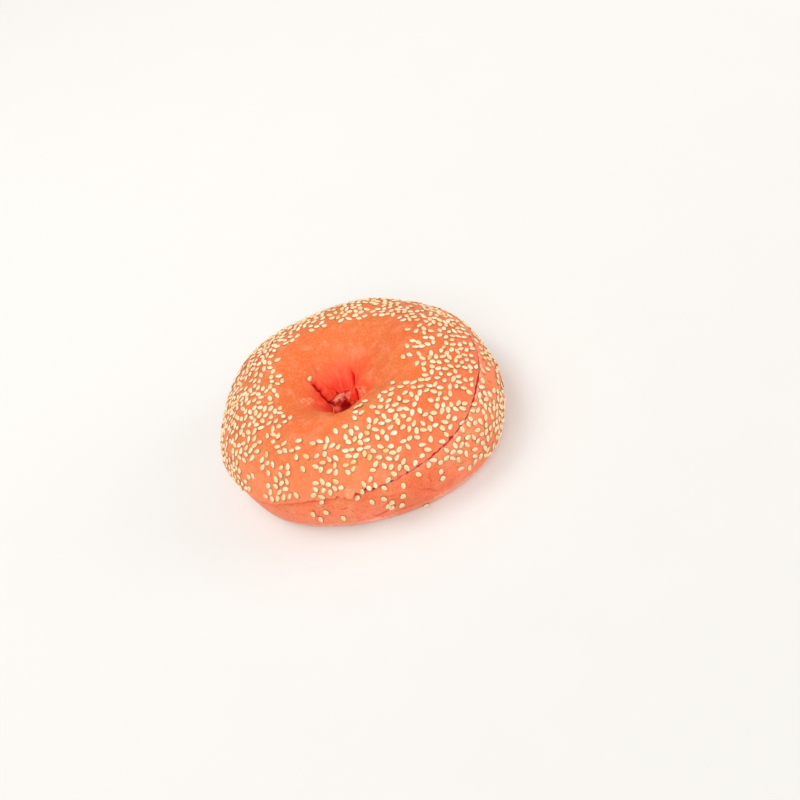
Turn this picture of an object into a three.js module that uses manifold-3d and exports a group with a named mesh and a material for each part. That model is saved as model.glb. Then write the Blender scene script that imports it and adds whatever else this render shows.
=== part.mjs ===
// A sliced beetroot bagel, resting on its flat base.
// Two halves of one baked ring lie on each other with the cut between them, and the top half has
// slid a little to one side. Sesame seeds are baked into the crust of both halves.
// Millimetres, +Z up. The origin is on the surface that the bagel rests on, under its middle.

import * as THREE from 'three';
import { ParametricGeometry } from 'three/addons/geometries/ParametricGeometry.js';
import { mergeVertices } from 'three/addons/utils/BufferGeometryUtils.js';
import Module from 'manifold-3d';

// The ring of dough, as a section at its mean size
const OUTER_RADIUS = 57;
const WIDEST_HEIGHT = 17.2;
const BASE_RADIUS = 47.5;
const CREST_RADIUS = 29;
const CREST_HEIGHT = 40.6;
const NECK_RADIUS = 5.6;
const NECK_HEIGHT = 17;
const BASE_HOLE_RADIUS = 11;

// How full each stretch of the section is: 2 is an ellipse, more is squarer
const HEEL_FULLNESS = 2.3;
const SHOULDER_FULLNESS = 1.76;
const FUNNEL_FULLNESS = 1.75;

// The ring was shaped by hand, so its outline isn't a circle and its hole isn't in the middle
const RING_CENTRE = new THREE.Vector2(0.9, -0.4);
const OUTLINE_SWELLS = [
  { lobes: 2, rise: 2.7, angle: -48 },
  { lobes: 3, rise: 1.2, angle: 71 },
  { lobes: 4, rise: 0.9, angle: 31 },
];
const HOLE_CENTRE = new THREE.Vector2(-2.7, -1.1);

// Low lumps all over the crust, as waves with a length and a direction
const LUMP_HEIGHT = 0.3;
const LUMPS = [
  { length: 41, along: new THREE.Vector3(0.8, 0.5, 0.3), phase: 0.4 },
  { length: 33, along: new THREE.Vector3(-0.4, 0.85, 0.35), phase: 2.1 },
  { length: 26, along: new THREE.Vector3(0.3, -0.5, 0.8), phase: 4.0 },
];
const FLAT_BASE_MARGIN = 5;

// Creases that gather the dough into the hole: each runs down the funnel between two stations
const CREASES = [
  { angle: 146, from: 2.5, to: 3.1, depth: 1.8, width: 1.5 },
  { angle: 38, from: 2.6, to: 3.0, depth: 1.2, width: 1.2 },
  { angle: 253, from: 2.05, to: 2.8, depth: 2.0, width: 2.2 },
];
const CREASE_LEAN = 8;
const CREASE_FULL_AT = 0.5;
const CREASE_GONE_AT = 1.6;

// The cut: a nearly level plane that rises towards +X, with a slow wave round the rim
const CUT_HEIGHT = 23;
const CUT_SLOPE = new THREE.Vector2(0.085, -0.014);
const CUT_WAVE = { rise: 0.6, count: 4, angle: 228 };
const CUT_GAP = 0.3;
const SLIDE = new THREE.Vector2(-0.5, -0.1);

// Stations along the section, each stretch one unit long
const BASE_EDGE = 0;
const WIDEST = 1;
const CREST = 2;
const NECK = 3;
const BASE_HOLE = 4;

const COLUMNS = 60;
const NORMAL_STEP = 0.01;
const HALVINGS = 40;
const TOP_STEPS = 15;
const HEEL_STEPS = 8;
const THROAT_STEPS = 5;

// Sesame seeds, the largest of those on the crust
const SEED_LENGTH = { least: 2.7, most: 3.2 };
const SEED_WIDTH_SHARE = 0.64;
const SEED_THICKNESS = 1.0;
const SEED_PROUD = 0.05;
const SEED_POINT = 0.45;
const SEED_SIDES = 5;
const SEED_RINGS = 4;
const SEED_SPACING = 4.6;
const RIM_MARGIN = 2.6;
const TRIES_PER_SEED = 60;

// Radius of the bare patch round the hole, by angle, on the stations from BARE_FROM inwards
const BARE_FROM = 1.4;
const BARE_PATCH = [
  [0, 34], [35, 34], [60, 28.5], [120, 28], [140, 22], [160, 22], [200, 24], [215, 27],
  [235, 37], [250, 36], [270, 27], [300, 24], [318, 35], [335, 29], [350, 35],
];

// How thickly the seeds lie on a stretch of the rim, by angle
const TOP_COVER = [[0, 1], [180, 0.9], [215, 0.4], [240, 0.35], [270, 1], [330, 1]];
const BOTTOM_COVER = [[0, 0.9], [30, 0.7], [100, 0.5], [190, 0.4], [215, 0.06], [280, 0.1], [300, 1]];
const BOTTOM_SEEDS_LOWEST = 0.45;

const HALVES = {
  top: {
    name: 'bagel_top_half',
    side: 1,
    slide: SLIDE,
    stretches: (outer, inner) => [[outer, inner, TOP_STEPS]],
    seeds: { count: 142, draw: 2407, from: 1.1, to: 2.8, cover: TOP_COVER },
  },
  bottom: {
    name: 'bagel_bottom_half',
    side: -1,
    slide: SLIDE.clone().negate(),
    stretches: (outer, inner) => [[BASE_EDGE, outer, HEEL_STEPS], [inner, BASE_HOLE, THROAT_STEPS]],
    seeds: { count: 39, draw: 1913, from: BOTTOM_SEEDS_LOWEST, to: 1.5, cover: BOTTOM_COVER },
  },
};

const CRUST = { color: 0xf98a60, roughness: 0.62, metalness: 0 };
const LOWER_CRUST = { color: 0xf68f70, roughness: 0.66, metalness: 0 };

const { clamp, degToRad, euclideanModulo, lerp, smoothstep } = THREE.MathUtils;
const FULL_TURN = 2 * Math.PI;

/** A quarter of a superellipse, with t from 0 to 1: the shares of its falling and rising legs. */
function quarter(t, fullness) {
  const turn = t * Math.PI / 2;
  const power = 2 / fullness;
  return { falling: Math.cos(turn) ** power, rising: Math.sin(turn) ** power };
}

/** Radius and height of the mean section at a station. */
function sectionAt(station) {
  if (station <= WIDEST) {
    const { falling, rising } = quarter(station, HEEL_FULLNESS);
    return [lerp(BASE_RADIUS, OUTER_RADIUS, rising), WIDEST_HEIGHT * (1 - falling)];
  }
  if (station <= CREST) {
    const { falling, rising } = quarter(station - WIDEST, SHOULDER_FULLNESS);
    return [lerp(CREST_RADIUS, OUTER_RADIUS, falling), lerp(WIDEST_HEIGHT, CREST_HEIGHT, rising)];
  }
  if (station <= NECK) {
    const { falling, rising } = quarter(station - CREST, FUNNEL_FULLNESS);
    return [lerp(CREST_RADIUS, NECK_RADIUS, rising), lerp(NECK_HEIGHT, CREST_HEIGHT, falling)];
  }
  const down = station - NECK;
  return [lerp(NECK_RADIUS, BASE_HOLE_RADIUS, down ** 2), NECK_HEIGHT * (1 - down)];
}

/** How far the outline stands out of the mean circle in a direction. */
function outlineSwell(angle) {
  return OUTLINE_SWELLS.reduce(
    (sum, swell) => sum + swell.rise * Math.cos(swell.lobes * (angle - degToRad(swell.angle))), 0);
}

/** A point of the crust before lumps and creases. */
function smoothSkin(station, angle) {
  const [radius, height] = sectionAt(station);
  const outwards = clamp((radius - NECK_RADIUS) / (OUTER_RADIUS - NECK_RADIUS), 0, 1);
  const reach = radius + outlineSwell(angle) * outwards;
  return new THREE.Vector3(
    reach * Math.cos(angle) + lerp(HOLE_CENTRE.x, RING_CENTRE.x, outwards),
    reach * Math.sin(angle) + lerp(HOLE_CENTRE.y, RING_CENTRE.y, outwards),
    height);
}

/** The direction out of the crust. */
function skinNormal(station, angle) {
  const along = smoothSkin(Math.min(station + NORMAL_STEP, BASE_HOLE), angle)
    .sub(smoothSkin(Math.max(station - NORMAL_STEP, BASE_EDGE), angle));
  const round = smoothSkin(station, angle + NORMAL_STEP).sub(smoothSkin(station, angle - NORMAL_STEP));
  return round.cross(along).normalize();
}

/** The shortest way from one angle to another, as a signed angle. */
function turnBetween(from, to) {
  return euclideanModulo(to - from + Math.PI, FULL_TURN) - Math.PI;
}

/** How deep the creases press the crust in. */
function creaseDepth(station, angle) {
  const radius = sectionAt(station)[0];
  return CREASES.reduce((sum, crease) => {
    const run = (station - crease.from) / (crease.to - crease.from);
    const line = degToRad(crease.angle + CREASE_LEAN * run);
    const aside = turnBetween(line, angle) * radius / crease.width;
    const along = smoothstep(run, 0, CREASE_FULL_AT) * (1 - smoothstep(run, 1, CREASE_GONE_AT));
    return sum + crease.depth * along * Math.exp(-aside * aside);
  }, 0);
}

/** How high the lumps lift the crust. */
function lumpHeight(point) {
  return LUMPS.reduce((sum, lump) => {
    const turn = FULL_TURN * point.dot(lump.along) / lump.length;
    return sum + LUMP_HEIGHT * Math.sin(turn + lump.phase);
  }, 0);
}

/** A point of the crust of one half, where that half lies. */
function skinPoint(half, station, angle) {
  const point = smoothSkin(station, angle);
  const offBase = smoothstep(point.z, 0, FLAT_BASE_MARGIN);
  const relief = (lumpHeight(point) - creaseDepth(station, angle)) * offBase;
  point.addScaledVector(skinNormal(station, angle), relief);
  point.x += half.slide.x;
  point.y += half.slide.y;
  return point;
}

/** Height of the cut over a point of the base. */
function cutHeight(point) {
  const wave = Math.cos(CUT_WAVE.count * (Math.atan2(point.y, point.x) - degToRad(CUT_WAVE.angle)));
  const outwards = Math.hypot(point.x, point.y) / OUTER_RADIUS;
  return CUT_HEIGHT + CUT_SLOPE.x * point.x + CUT_SLOPE.y * point.y + CUT_WAVE.rise * wave * outwards;
}

/** The station between two others where a half's crust meets its side of the cut. */
function stationAtCut(half, angle, below, above) {
  let [low, high] = [below, above];
  for (let halving = 0; halving < HALVINGS; halving++) {
    const middle = (low + high) / 2;
    const point = skinPoint(half, middle, angle);
    if (point.z < cutHeight(point) + half.side * CUT_GAP / 2) low = middle;
    else high = middle;
  }
  return (low + high) / 2;
}

/** The stations of one half round its section, in order: the gaps between stretches are flat faces. */
function loopStations(half, angle) {
  const outer = stationAtCut(half, angle, WIDEST, CREST);
  const inner = stationAtCut(half, angle, NECK, CREST);
  return half.stretches(outer, inner).flatMap(
    ([from, to, steps]) => Array.from({ length: steps + 1 }, (_, i) => lerp(from, to, i / steps)));
}

/** The half ring as one closed skin: the crust, the face of the cut and, below, the flat base. */
function ringGeometry(half) {
  const columns = Array.from({ length: COLUMNS }, (_, i) => {
    const angle = i / COLUMNS * FULL_TURN;
    return loopStations(half, angle).map((station) => skinPoint(half, station, angle));
  });
  const loop = columns[0].length;
  return new ParametricGeometry((round, along, target) => {
    target.copy(columns[Math.round(round * COLUMNS) % COLUMNS][Math.round(along * loop) % loop]);
  }, COLUMNS, loop);
}

/** A value between named angles, running smoothly round the ring. */
function byAngle(stops, angle) {
  const degrees = euclideanModulo(THREE.MathUtils.radToDeg(angle), 360);
  const next = stops.findIndex(([at]) => at > degrees);
  const [to, from] = next < 0 ? [stops[0], stops.at(-1)] : [stops[next], stops.at(next - 1)];
  const span = euclideanModulo(to[0] - from[0], 360);
  const share = euclideanModulo(degrees - from[0], 360) / span;
  return lerp(from[1], to[1], smoothstep(share, 0, 1));
}

/** Whether the crust round the hole is bare at a station. */
function isBare(station, angle) {
  return station > BARE_FROM && sectionAt(station)[0] < byAngle(BARE_PATCH, angle);
}

/** Places of the seeds on one half: random, no two close, none on the bare patch or over the cut. */
function seedSpots(half) {
  const random = THREE.MathUtils.seededRandom;
  const { count, draw, from, to, cover } = half.seeds;
  random(draw);
  const spots = [];
  for (let tries = 0; spots.length < count && tries < TRIES_PER_SEED * count; tries++) {
    const angle = random() * FULL_TURN;
    const station = lerp(from, to, random());
    const heading = random() * FULL_TURN;
    const keep = random() * OUTER_RADIUS < sectionAt(station)[0] * byAngle(cover, angle);
    const point = skinPoint(half, station, angle);
    const overCut = half.side * (point.z - cutHeight(point));
    const rimClear = station > CREST || overCut > RIM_MARGIN;
    const apart = spots.every((spot) => spot.point.distanceTo(point) > SEED_SPACING);
    if (keep && rimClear && apart && !isBare(station, angle)) {
      spots.push({ point, heading, normal: skinNormal(station, angle) });
    }
  }
  return spots;
}

/** One seed lying flat on the origin: a flattened drop with a pointed end. */
function seedGeometry(length) {
  const seed = new THREE.SphereGeometry(0.5, SEED_SIDES, SEED_RINGS);
  const place = seed.attributes.position;
  for (let i = 0; i < place.count; i++) {
    const taper = 1 - SEED_POINT * (place.getY(i) + 0.5) ** 2;
    place.setX(i, place.getX(i) * taper);
  }
  return seed.scale(length * SEED_WIDTH_SHARE, length, SEED_THICKNESS);
}

/** All seeds of one half, each turned onto the crust at its spot. */
function seedGeometries(half) {
  return seedSpots(half).map(({ point, heading, normal }, i, { length }) => {
    const seed = seedGeometry(lerp(SEED_LENGTH.most, SEED_LENGTH.least, i / length));
    const upright = new THREE.Quaternion().setFromUnitVectors(new THREE.Vector3(0, 0, 1), normal);
    return seed.rotateZ(heading).applyQuaternion(upright)
      .translate(...point.clone().addScaledVector(normal, SEED_PROUD));
  });
}

const wasm = await Module();
wasm.setup();

/** A closed three.js geometry as a solid that can be joined. */
function solidOf(geometry) {
  const bare = geometry.clone().deleteAttribute('normal').deleteAttribute('uv');
  const merged = mergeVertices(bare);
  return new wasm.Manifold(new wasm.Mesh({
    numProp: 3,
    vertProperties: new Float32Array(merged.attributes.position.array),
    triVerts: new Uint32Array(merged.index.array),
  }));
}

/** A solid back as a geometry with flat faces. */
function geometryOf(solid) {
  const mesh = solid.getMesh();
  const geometry = new THREE.BufferGeometry();
  geometry.setAttribute('position', new THREE.BufferAttribute(mesh.vertProperties, 3));
  geometry.setIndex(new THREE.BufferAttribute(mesh.triVerts, 1));
  geometry.computeVertexNormals();
  return geometry;
}

/** One half of the bagel: its ring of dough with the seeds joined to it, and no loose scrap. */
function halfMesh(half, look) {
  const joined = seedGeometries(half).reduce(
    (solid, seed) => solid.add(solidOf(seed)), solidOf(ringGeometry(half)));
  const [largest] = joined.decompose().sort((a, b) => b.volume() - a.volume());
  const mesh = new THREE.Mesh(geometryOf(largest), new THREE.MeshStandardMaterial(look));
  mesh.name = half.name;
  return mesh;
}

const group = new THREE.Group();
group.add(halfMesh(HALVES.bottom, LOWER_CRUST));
group.add(halfMesh(HALVES.top, CRUST));

export default group;
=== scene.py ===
"""A sliced beetroot bagel with sesame seeds, lying on its flat base.

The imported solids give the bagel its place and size. Both halves are built again here from the same
sizes, finer, with the folds of the hole, the torn rim of the cut and its crumb, and sesame seeds
are scattered on their crust. Sizes are in millimetres and angles in degrees, unless a name says
otherwise, and they are turned to metres and radians where a mesh or a node takes them.
"""

import logging
import math
from dataclasses import dataclass, field
from enum import Enum, IntEnum
from typing import Any

import bpy
import numpy as np
from mathutils import Matrix, Vector


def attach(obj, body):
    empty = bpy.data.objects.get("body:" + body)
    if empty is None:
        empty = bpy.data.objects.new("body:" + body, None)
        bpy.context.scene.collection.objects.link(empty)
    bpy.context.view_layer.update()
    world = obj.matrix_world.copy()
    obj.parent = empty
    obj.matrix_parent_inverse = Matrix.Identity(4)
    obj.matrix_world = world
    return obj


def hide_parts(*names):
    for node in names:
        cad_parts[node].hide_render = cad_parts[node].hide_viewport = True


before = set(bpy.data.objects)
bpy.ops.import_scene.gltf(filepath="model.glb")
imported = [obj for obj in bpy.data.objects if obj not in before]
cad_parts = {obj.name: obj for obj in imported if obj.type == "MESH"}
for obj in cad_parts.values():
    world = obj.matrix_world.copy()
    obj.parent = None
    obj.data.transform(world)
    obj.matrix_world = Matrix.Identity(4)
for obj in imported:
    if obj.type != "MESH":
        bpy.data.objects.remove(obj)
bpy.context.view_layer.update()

log = logging.getLogger("bagel")

MM = 0.001
FULL_TURN = 2 * math.pi
BALL_RADIUS = 0.5

Points = np.ndarray
# Stops are pairs of an angle round the ring and a value there.
Stops = tuple[tuple[float, float], ...]
# A ramp is where something starts, where it is full and, if not 0 and 1, its share at both.
Ramp = tuple[float, ...]

NOWHERE: Stops = ((0, 0.0), (180, 0.0))


class Slot(Enum):
    """Names of material slots; each half holds one, but nothing in this script reads it."""

    TOP_CRUST = "top_crust"
    BOTTOM_CRUST = "bottom_crust"
    SESAME_SEED = "sesame_seed"


class Mark(Enum):
    """Names of the values kept on the crust's points, which the finishes and trees read."""

    CRUMB = "crumb"
    # This mark holds painted shade: in creases, under the overhang of the cut, along its seam and in dark
    # spots.
    FOLD = "fold"
    # This mark holds the hole's red: partly the dough's unbrowned red and partly painted shade of the hole's
    # depth.
    HOLLOW = "hollow"
    RIM = "rim"
    BLISTER = "blister"
    COVER = "seed_cover"
    POSE = "seed_pose"
    TONE = "seed_tone"
    PLAN = "seed_plan"


class Side(Enum):
    """Which side of the cut a half lies on."""

    TOP = 1
    BOTTOM = -1


class Station(IntEnum):
    """The corners of the ring's section, in order along it, one unit apart."""

    BASE_EDGE = 0
    WIDEST = 1
    CREST = 2
    NECK = 3
    BASE_HOLE = 4


def linear(code: str) -> tuple[float, float, float, float]:
    """Turn an sRGB hex colour to the linear values that a shader takes.

    Args:
        code: the colour, such as "#f0a080".

    Returns:
        Red, green, blue and an alpha of 1.
    """
    parts = [int(code[i:i + 2], 16) / 255 for i in (1, 3, 5)]
    red, green, blue = (p / 12.92 if p <= 0.04045 else ((p + 0.055) / 1.055) ** 2.4 for p in parts)
    return red, green, blue, 1.0


def per_metre(length: float) -> float:
    """Give the scale of a pattern that repeats over a length in millimetres."""
    return 1 / (length * MM)


def ease(value: Points, low: float, high: float) -> Points:
    """Rise smoothly from 0 to 1 as value goes from low to high, or fall where low is the greater."""
    share = np.clip((value - low) / (high - low), 0, 1)
    return share * share * (3 - 2 * share)


def around(stops: Stops, degrees: Points) -> Points:
    """Read a value that runs smoothly round the ring.

    Args:
        stops: angle and value pairs in order of angle.
        degrees: the angles to read it at.

    Returns:
        The value at each angle.
    """
    angles = np.array([a for a, _ in stops])
    values = np.array([v for _, v in stops])
    turned = np.mod(degrees, 360.0)
    after = np.searchsorted(angles, turned, side="right") % len(stops)
    before = after - 1
    span = np.mod(angles[after] - angles[before], 360.0)
    share = ease(np.mod(turned - angles[before], 360.0) / span, 0, 1)
    return values[before] + (values[after] - values[before]) * share


def turn_between(start: float, end: Points) -> Points:
    """Give the shortest signed turn from one angle to others, in degrees."""
    return np.mod(end - start + 180.0, 360.0) - 180.0


def bell(away: Points, width: float, power: float = 2) -> Points:
    """Fall smoothly from 1 with the distance, to 0.37 at the width, the steeper the greater the power."""
    return np.exp(-(away / width) ** power)


@dataclass(frozen=True)
class Swell:
    """A slow bulge of the outline: its number of lobes, their rise and where the first one is."""

    lobes: int
    rise: float
    angle: float


@dataclass(frozen=True)
class Lump:
    """A low wave in the crust: its length, the direction that it runs in and where it starts."""

    length: float
    along: tuple[float, float, float]
    phase: float


@dataclass(frozen=True)
class Fold:
    """A crease in the dough along a line of stations and angles.

    Its flanks slope over the width, by steepness. It grows in from its first point over onset, a
    share of its line, and if it closes it fades from closing_from to its last point. It would
    reach 0 only at overrun past its ends. The fold is painted with shade in its red, as much as its
    shade share says, and a shallow fold gets less of it, down to the shallow share.
    """

    line: tuple[tuple[float, float], ...]
    depth: float
    width: float
    shade_share: float = 1.0
    closes: bool = True
    onset: float = 0.4
    closing_from: float = 0.7
    overrun: float = 0.05
    steepness: float = 1.4
    shallow_shade: float = 0.3

    def share(self, point: Points, nodes: Points) -> Points:
        """Give how much of the fold's depth there is at each point, from 0 to 1.

        Args:
            point: points of the smooth crust.
            nodes: the points of this fold's line.

        Returns:
            The shares.
        """
        nearest = np.full(point.shape[:-1], np.inf)
        run = np.zeros(point.shape[:-1])
        for number, (start, end) in enumerate(zip(nodes, nodes[1:])):
            leg = end - start
            share = np.clip((point - start) @ leg / (leg @ leg), 0, 1)
            away = np.linalg.norm(point - start - share[..., None] * leg, axis=-1)
            run = np.where(away < nearest, (number + share) / (len(nodes) - 1), run)
            nearest = np.minimum(away, nearest)
        along = ease(run, -self.overrun, self.onset)
        if self.closes:
            along = along * ease(run, 1 + self.overrun, self.closing_from)
        return along * bell(nearest, self.width, self.steepness)


@dataclass(frozen=True)
class Spot:
    """A small place on the crust: its station, its angle, its reach and an amount.

    The amount holds over the solid share of the reach and fades outside it.
    """

    station: float
    angle: float
    reach: float
    amount: float = 1.0
    solid: float = 0.75


@dataclass(frozen=True)
class Wobble:
    """What makes the edges of spots uneven: two waves across each other that also climb.

    Their rates sideways and upwards are in radians a millimetre, and lag is between the two.
    """

    height: float = 0.3
    rates_x: tuple[float, float] = (3.9, 1.7)
    rates_y: tuple[float, float] = (4.3, -2.1)
    lag: float = 1.0

    def at(self, point: Points) -> Points:
        """Give how far an edge is moved at each point.

        Args:
            point: points of the crust.

        Returns:
            The distances.
        """
        x, y, z = np.moveaxis(point, -1, 0)
        (along_x, up_x), (along_y, up_y) = self.rates_x, self.rates_y
        waves = np.sin(along_x * x + up_x * z) + np.sin(along_y * y + up_y * z + self.lag)
        return self.height * waves


@dataclass(frozen=True)
class Stray:
    """A seed whose place is given: its station and angle, and the turn of its length in the crust.

    It leans up by lean, and one end of it rises out of the crust by pitch.
    """

    station: float
    angle: float
    turn: float
    lean: float = 12.0
    pitch: float = 0.0


@dataclass(frozen=True)
class RingForm:
    """The ring of dough, as a section swept round the hole, at the sizes of the solids.

    Its stretches run from one Station to the next: the heel from the base's edge up to the widest
    place, the shoulder up to the crest, the funnel down to the neck of the hole, and the throat
    down to the base. A fullness is 2 for an ellipse, and more for a squarer stretch.
    """

    outer_radius: float = 57.0
    widest_height: float = 17.2
    base_radius: float = 47.5
    crest_radius: float = 29.0
    crest_height: float = 40.6
    neck_radius: float = 5.6
    neck_height: float = 17.0
    base_hole_radius: float = 11.0
    heel_fullness: float = 2.3
    shoulder_fullness: float = 1.76
    funnel_fullness: float = 1.75
    ring_centre: tuple[float, float] = (0.9, -0.4)
    hole_centre: tuple[float, float] = (-2.7, -1.1)
    swells: tuple[Swell, ...] = (Swell(2, 2.7, -48.0), Swell(3, 1.2, 71.0), Swell(4, 0.9, 31.0))
    lump_height: float = 0.3
    lumps: tuple[Lump, ...] = (
        Lump(41.0, (0.8, 0.5, 0.3), 0.4),
        Lump(33.0, (-0.4, 0.85, 0.35), 2.1),
        Lump(26.0, (0.3, -0.5, 0.8), 4.0),
    )
    folds: tuple[Fold, ...] = (
        # Broad dips without painted shade, which are bulges where the depth is negative.
        Fold(((1.95, 252), (2.3, 262), (2.7, 272), (3.2, 280)), 3.0, 7.2, 0.0, closes=False),
        Fold(((2.35, 337), (2.55, 341), (2.75, 346), (3.0, 352)), -3.8, 4.4, 0.0, closes=False),
        Fold(((2.62, 346), (2.76, 344), (2.92, 348)), -1.4, 2.6, 0.0),
        Fold(((2.05, 302), (2.3, 310), (2.55, 318)), 2.0, 4.6, 0.0, closes=False),
        Fold(((1.25, 47), (1.9, 47)), 1.1, 13.0, 0.0, closes=False, onset=0.02),
        Fold(((2.86, 58), (3.02, 52), (3.3, 48)), -4.0, 3.2, 0.0, closes=False),
        Fold(((2.62, 172), (2.75, 170), (2.9, 166)), -1.2, 2.2, 0.0, closes=False),
        # Creases in the wall of the hole, painted with shade.
        Fold(((2.51, 131.5), (2.535, 133.5), (2.57, 132), (2.62, 134.5), (2.66, 132), (2.69, 138),
              (2.76, 137), (2.82, 142), (2.95, 146), (3.15, 150)), 2.3, 0.9, 1.0, closes=False, onset=0.25),
        Fold(((2.54, 53), (2.60, 48), (2.65, 42), (2.70, 39.5), (2.76, 32.5), (2.84, 29), (2.90, 28),
              (3.2, 24)), 2.0, 0.85, 1.0, closes=False, onset=0.32),
        Fold(((2.66, 344), (2.694, 337), (2.71, 333), (2.725, 331), (2.75, 326), (2.79, 323)),
             1.0, 0.75, 1.0, closes=False, onset=0.15),
        # Shallow creases round the crest and in the hole.
        Fold(((2.60, 111), (2.69, 113), (2.74, 102), (2.80, 97)), 0.35, 0.8, 0.85, closes=False),
        Fold(((2.30, 106), (2.42, 110), (2.50, 113.5), (2.58, 118)), 0.3, 0.9, 0.85),
        Fold(((2.05, 250), (2.2, 251), (2.5, 250)), 0.9, 1.3, 0.6, closes=False),
        Fold(((2.62, 16), (2.70, 4), (2.76, 352)), 0.5, 0.5, 0.6),
        Fold(((2.66, 150), (2.70, 160), (2.72, 172)), 0.5, 0.6, 0.6),
        # Wrinkles low on the front.
        Fold(((0.82, 261), (0.71, 260.8), (0.63, 255.2), (0.74, 253)), 0.7, 0.9, 0.65),
        Fold(((0.91, 271), (0.90, 276), (0.86, 279), (0.73, 281), (0.62, 284.5)), 0.7, 0.9, 0.6),
        Fold(((1.10, 279), (1.01, 281), (0.92, 280.5)), 0.7, 0.8, 0.6),
        Fold(((1.0, 263.5), (0.99, 266.5)), 0.4, 0.5, 0.9),
        Fold(((0.95, 240), (0.93, 243.5), (0.97, 247)), 0.5, 0.9, 0.7),
        Fold(((0.66, 262), (0.62, 268), (0.66, 274)), 0.5, 0.9, 0.7),
    )
    flat_base_margin: float = 5.0
    normal_step: float = 0.01

    @staticmethod
    def quarter(share: Points, fullness: float) -> tuple[Points, Points]:
        """Go round a quarter of a superellipse.

        Args:
            share: how far round, from 0 to 1.
            fullness: 2 for an ellipse, and more for a squarer one.

        Returns:
            The shares of the leg that falls and of the leg that rises.
        """
        turn = np.clip(share, 0, 1) * math.pi / 2
        return np.cos(turn) ** (2 / fullness), np.sin(turn) ** (2 / fullness)

    def section(self, station: Points) -> tuple[Points, Points]:
        """Give the mean section, before it is swollen and moved.

        Args:
            station: where along the section.

        Returns:
            The radius and the height at each station.
        """
        heel_fall, heel_rise = self.quarter(station, self.heel_fullness)
        shoulder_fall, shoulder_rise = self.quarter(station - Station.WIDEST, self.shoulder_fullness)
        funnel_fall, funnel_rise = self.quarter(station - Station.CREST, self.funnel_fullness)
        down = np.clip(station - Station.NECK, 0, 1)
        stretches = [station <= end for end in (Station.WIDEST, Station.CREST, Station.NECK)]
        radius = np.select(stretches, [
            self.base_radius + (self.outer_radius - self.base_radius) * heel_rise,
            self.crest_radius + (self.outer_radius - self.crest_radius) * shoulder_fall,
            self.crest_radius + (self.neck_radius - self.crest_radius) * funnel_rise,
        ], self.neck_radius + (self.base_hole_radius - self.neck_radius) * down ** 2)
        height = np.select(stretches, [
            self.widest_height * (1 - heel_fall),
            self.widest_height + (self.crest_height - self.widest_height) * shoulder_rise,
            self.neck_height + (self.crest_height - self.neck_height) * funnel_fall,
        ], self.neck_height * (1 - down))
        return radius, height

    def smooth_skin(self, station: Points, degrees: Points) -> Points:
        """Give points of the crust before lumps and folds.

        Args:
            station: where along the section.
            degrees: where round the ring.

        Returns:
            The points, with x, y and z along the last axis.
        """
        radius, height = self.section(station)
        outwards = np.clip((radius - self.neck_radius) / (self.outer_radius - self.neck_radius), 0, 1)
        swell = sum(s.rise * np.cos(s.lobes * np.radians(degrees - s.angle)) for s in self.swells)
        reach = radius + swell * outwards
        turn = np.radians(degrees)
        (ring_x, ring_y), (hole_x, hole_y) = self.ring_centre, self.hole_centre
        x = reach * np.cos(turn) + hole_x + (ring_x - hole_x) * outwards
        y = reach * np.sin(turn) + hole_y + (ring_y - hole_y) * outwards
        return np.stack([x, y, height], axis=-1)

    def normal(self, station: Points, degrees: Points) -> Points:
        """Give the direction out of the crust.

        Args:
            station: where along the section.
            degrees: where round the ring.

        Returns:
            The unit directions, with x, y and z along the last axis.
        """
        step, turn = self.normal_step, math.degrees(self.normal_step)
        along_section = (self.smooth_skin(np.minimum(station + step, Station.BASE_HOLE), degrees)
                         - self.smooth_skin(np.maximum(station - step, Station.BASE_EDGE), degrees))
        along_ring = self.smooth_skin(station, degrees + turn) - self.smooth_skin(station, degrees - turn)
        out = np.cross(along_ring, along_section)
        return out / np.linalg.norm(out, axis=-1, keepdims=True)

    def fold_share(self, point: Points) -> tuple[Points, Points]:
        """Give how deep the folds are, and how much painted shade they get.

        Args:
            point: points of the smooth crust.

        Returns:
            The depth and the painted shade at each point.
        """
        depth, mark = np.zeros(point.shape[:-1]), np.zeros(point.shape[:-1])
        for fold in self.folds:
            stations, angles = np.array(fold.line, float).T
            share = fold.share(point, self.smooth_skin(stations, angles))
            depth = depth + share * fold.depth
            mark = np.maximum(mark, share * fold.shade_share * min(1.0, fold.depth + fold.shallow_shade))
        return depth, mark

    def skin(self, station: Points, degrees: Points) -> Points:
        """Give points of the crust with its lumps and folds.

        Args:
            station: where along the section.
            degrees: where round the ring.

        Returns:
            The points, with x, y and z along the last axis.
        """
        point = self.smooth_skin(station, degrees)
        waves = [np.sin(FULL_TURN * (point @ np.array(lump.along)) / lump.length + lump.phase)
                 for lump in self.lumps]
        off_base = ease(point[..., 2], 0, self.flat_base_margin)
        depth, _ = self.fold_share(point)
        relief = (self.lump_height * sum(waves) - depth) * off_base
        return point + self.normal(station, degrees) * relief[..., None]


@dataclass(frozen=True)
class Cut:
    """The knife's cut: a nearly level plane that rises towards +X, with a slow wave."""

    height: float = 23.0
    slope: tuple[float, float] = (0.085, -0.014)
    wave_rise: float = 0.6
    wave_count: int = 4
    wave_angle: float = 228.0
    wave_radius: float = 57.0
    gap: float = 0.16

    def height_at(self, point: Points) -> Points:
        """Give the height of the cut over or under points.

        Args:
            point: the points.

        Returns:
            The height at each of them.
        """
        x, y = point[..., 0], point[..., 1]
        wave = np.cos(self.wave_count * (np.arctan2(y, x) - math.radians(self.wave_angle)))
        outwards = np.hypot(x, y) / self.wave_radius
        return self.height + self.slope[0] * x + self.slope[1] * y + self.wave_rise * wave * outwards


@dataclass(frozen=True)
class Tear:
    """A place where the knife tore the rim of the crust.

    The rim is lifted off the cut by lift, or hangs over it where that is negative, and its skin
    stands out by flare.
    """

    angle: float
    width: float
    lift: float
    flare: float = 0.0


@dataclass
class Strip:
    """Some rows of a half's closed skin, with the marks on their points."""

    points: Points
    marks: dict[Mark, Points]


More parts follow.
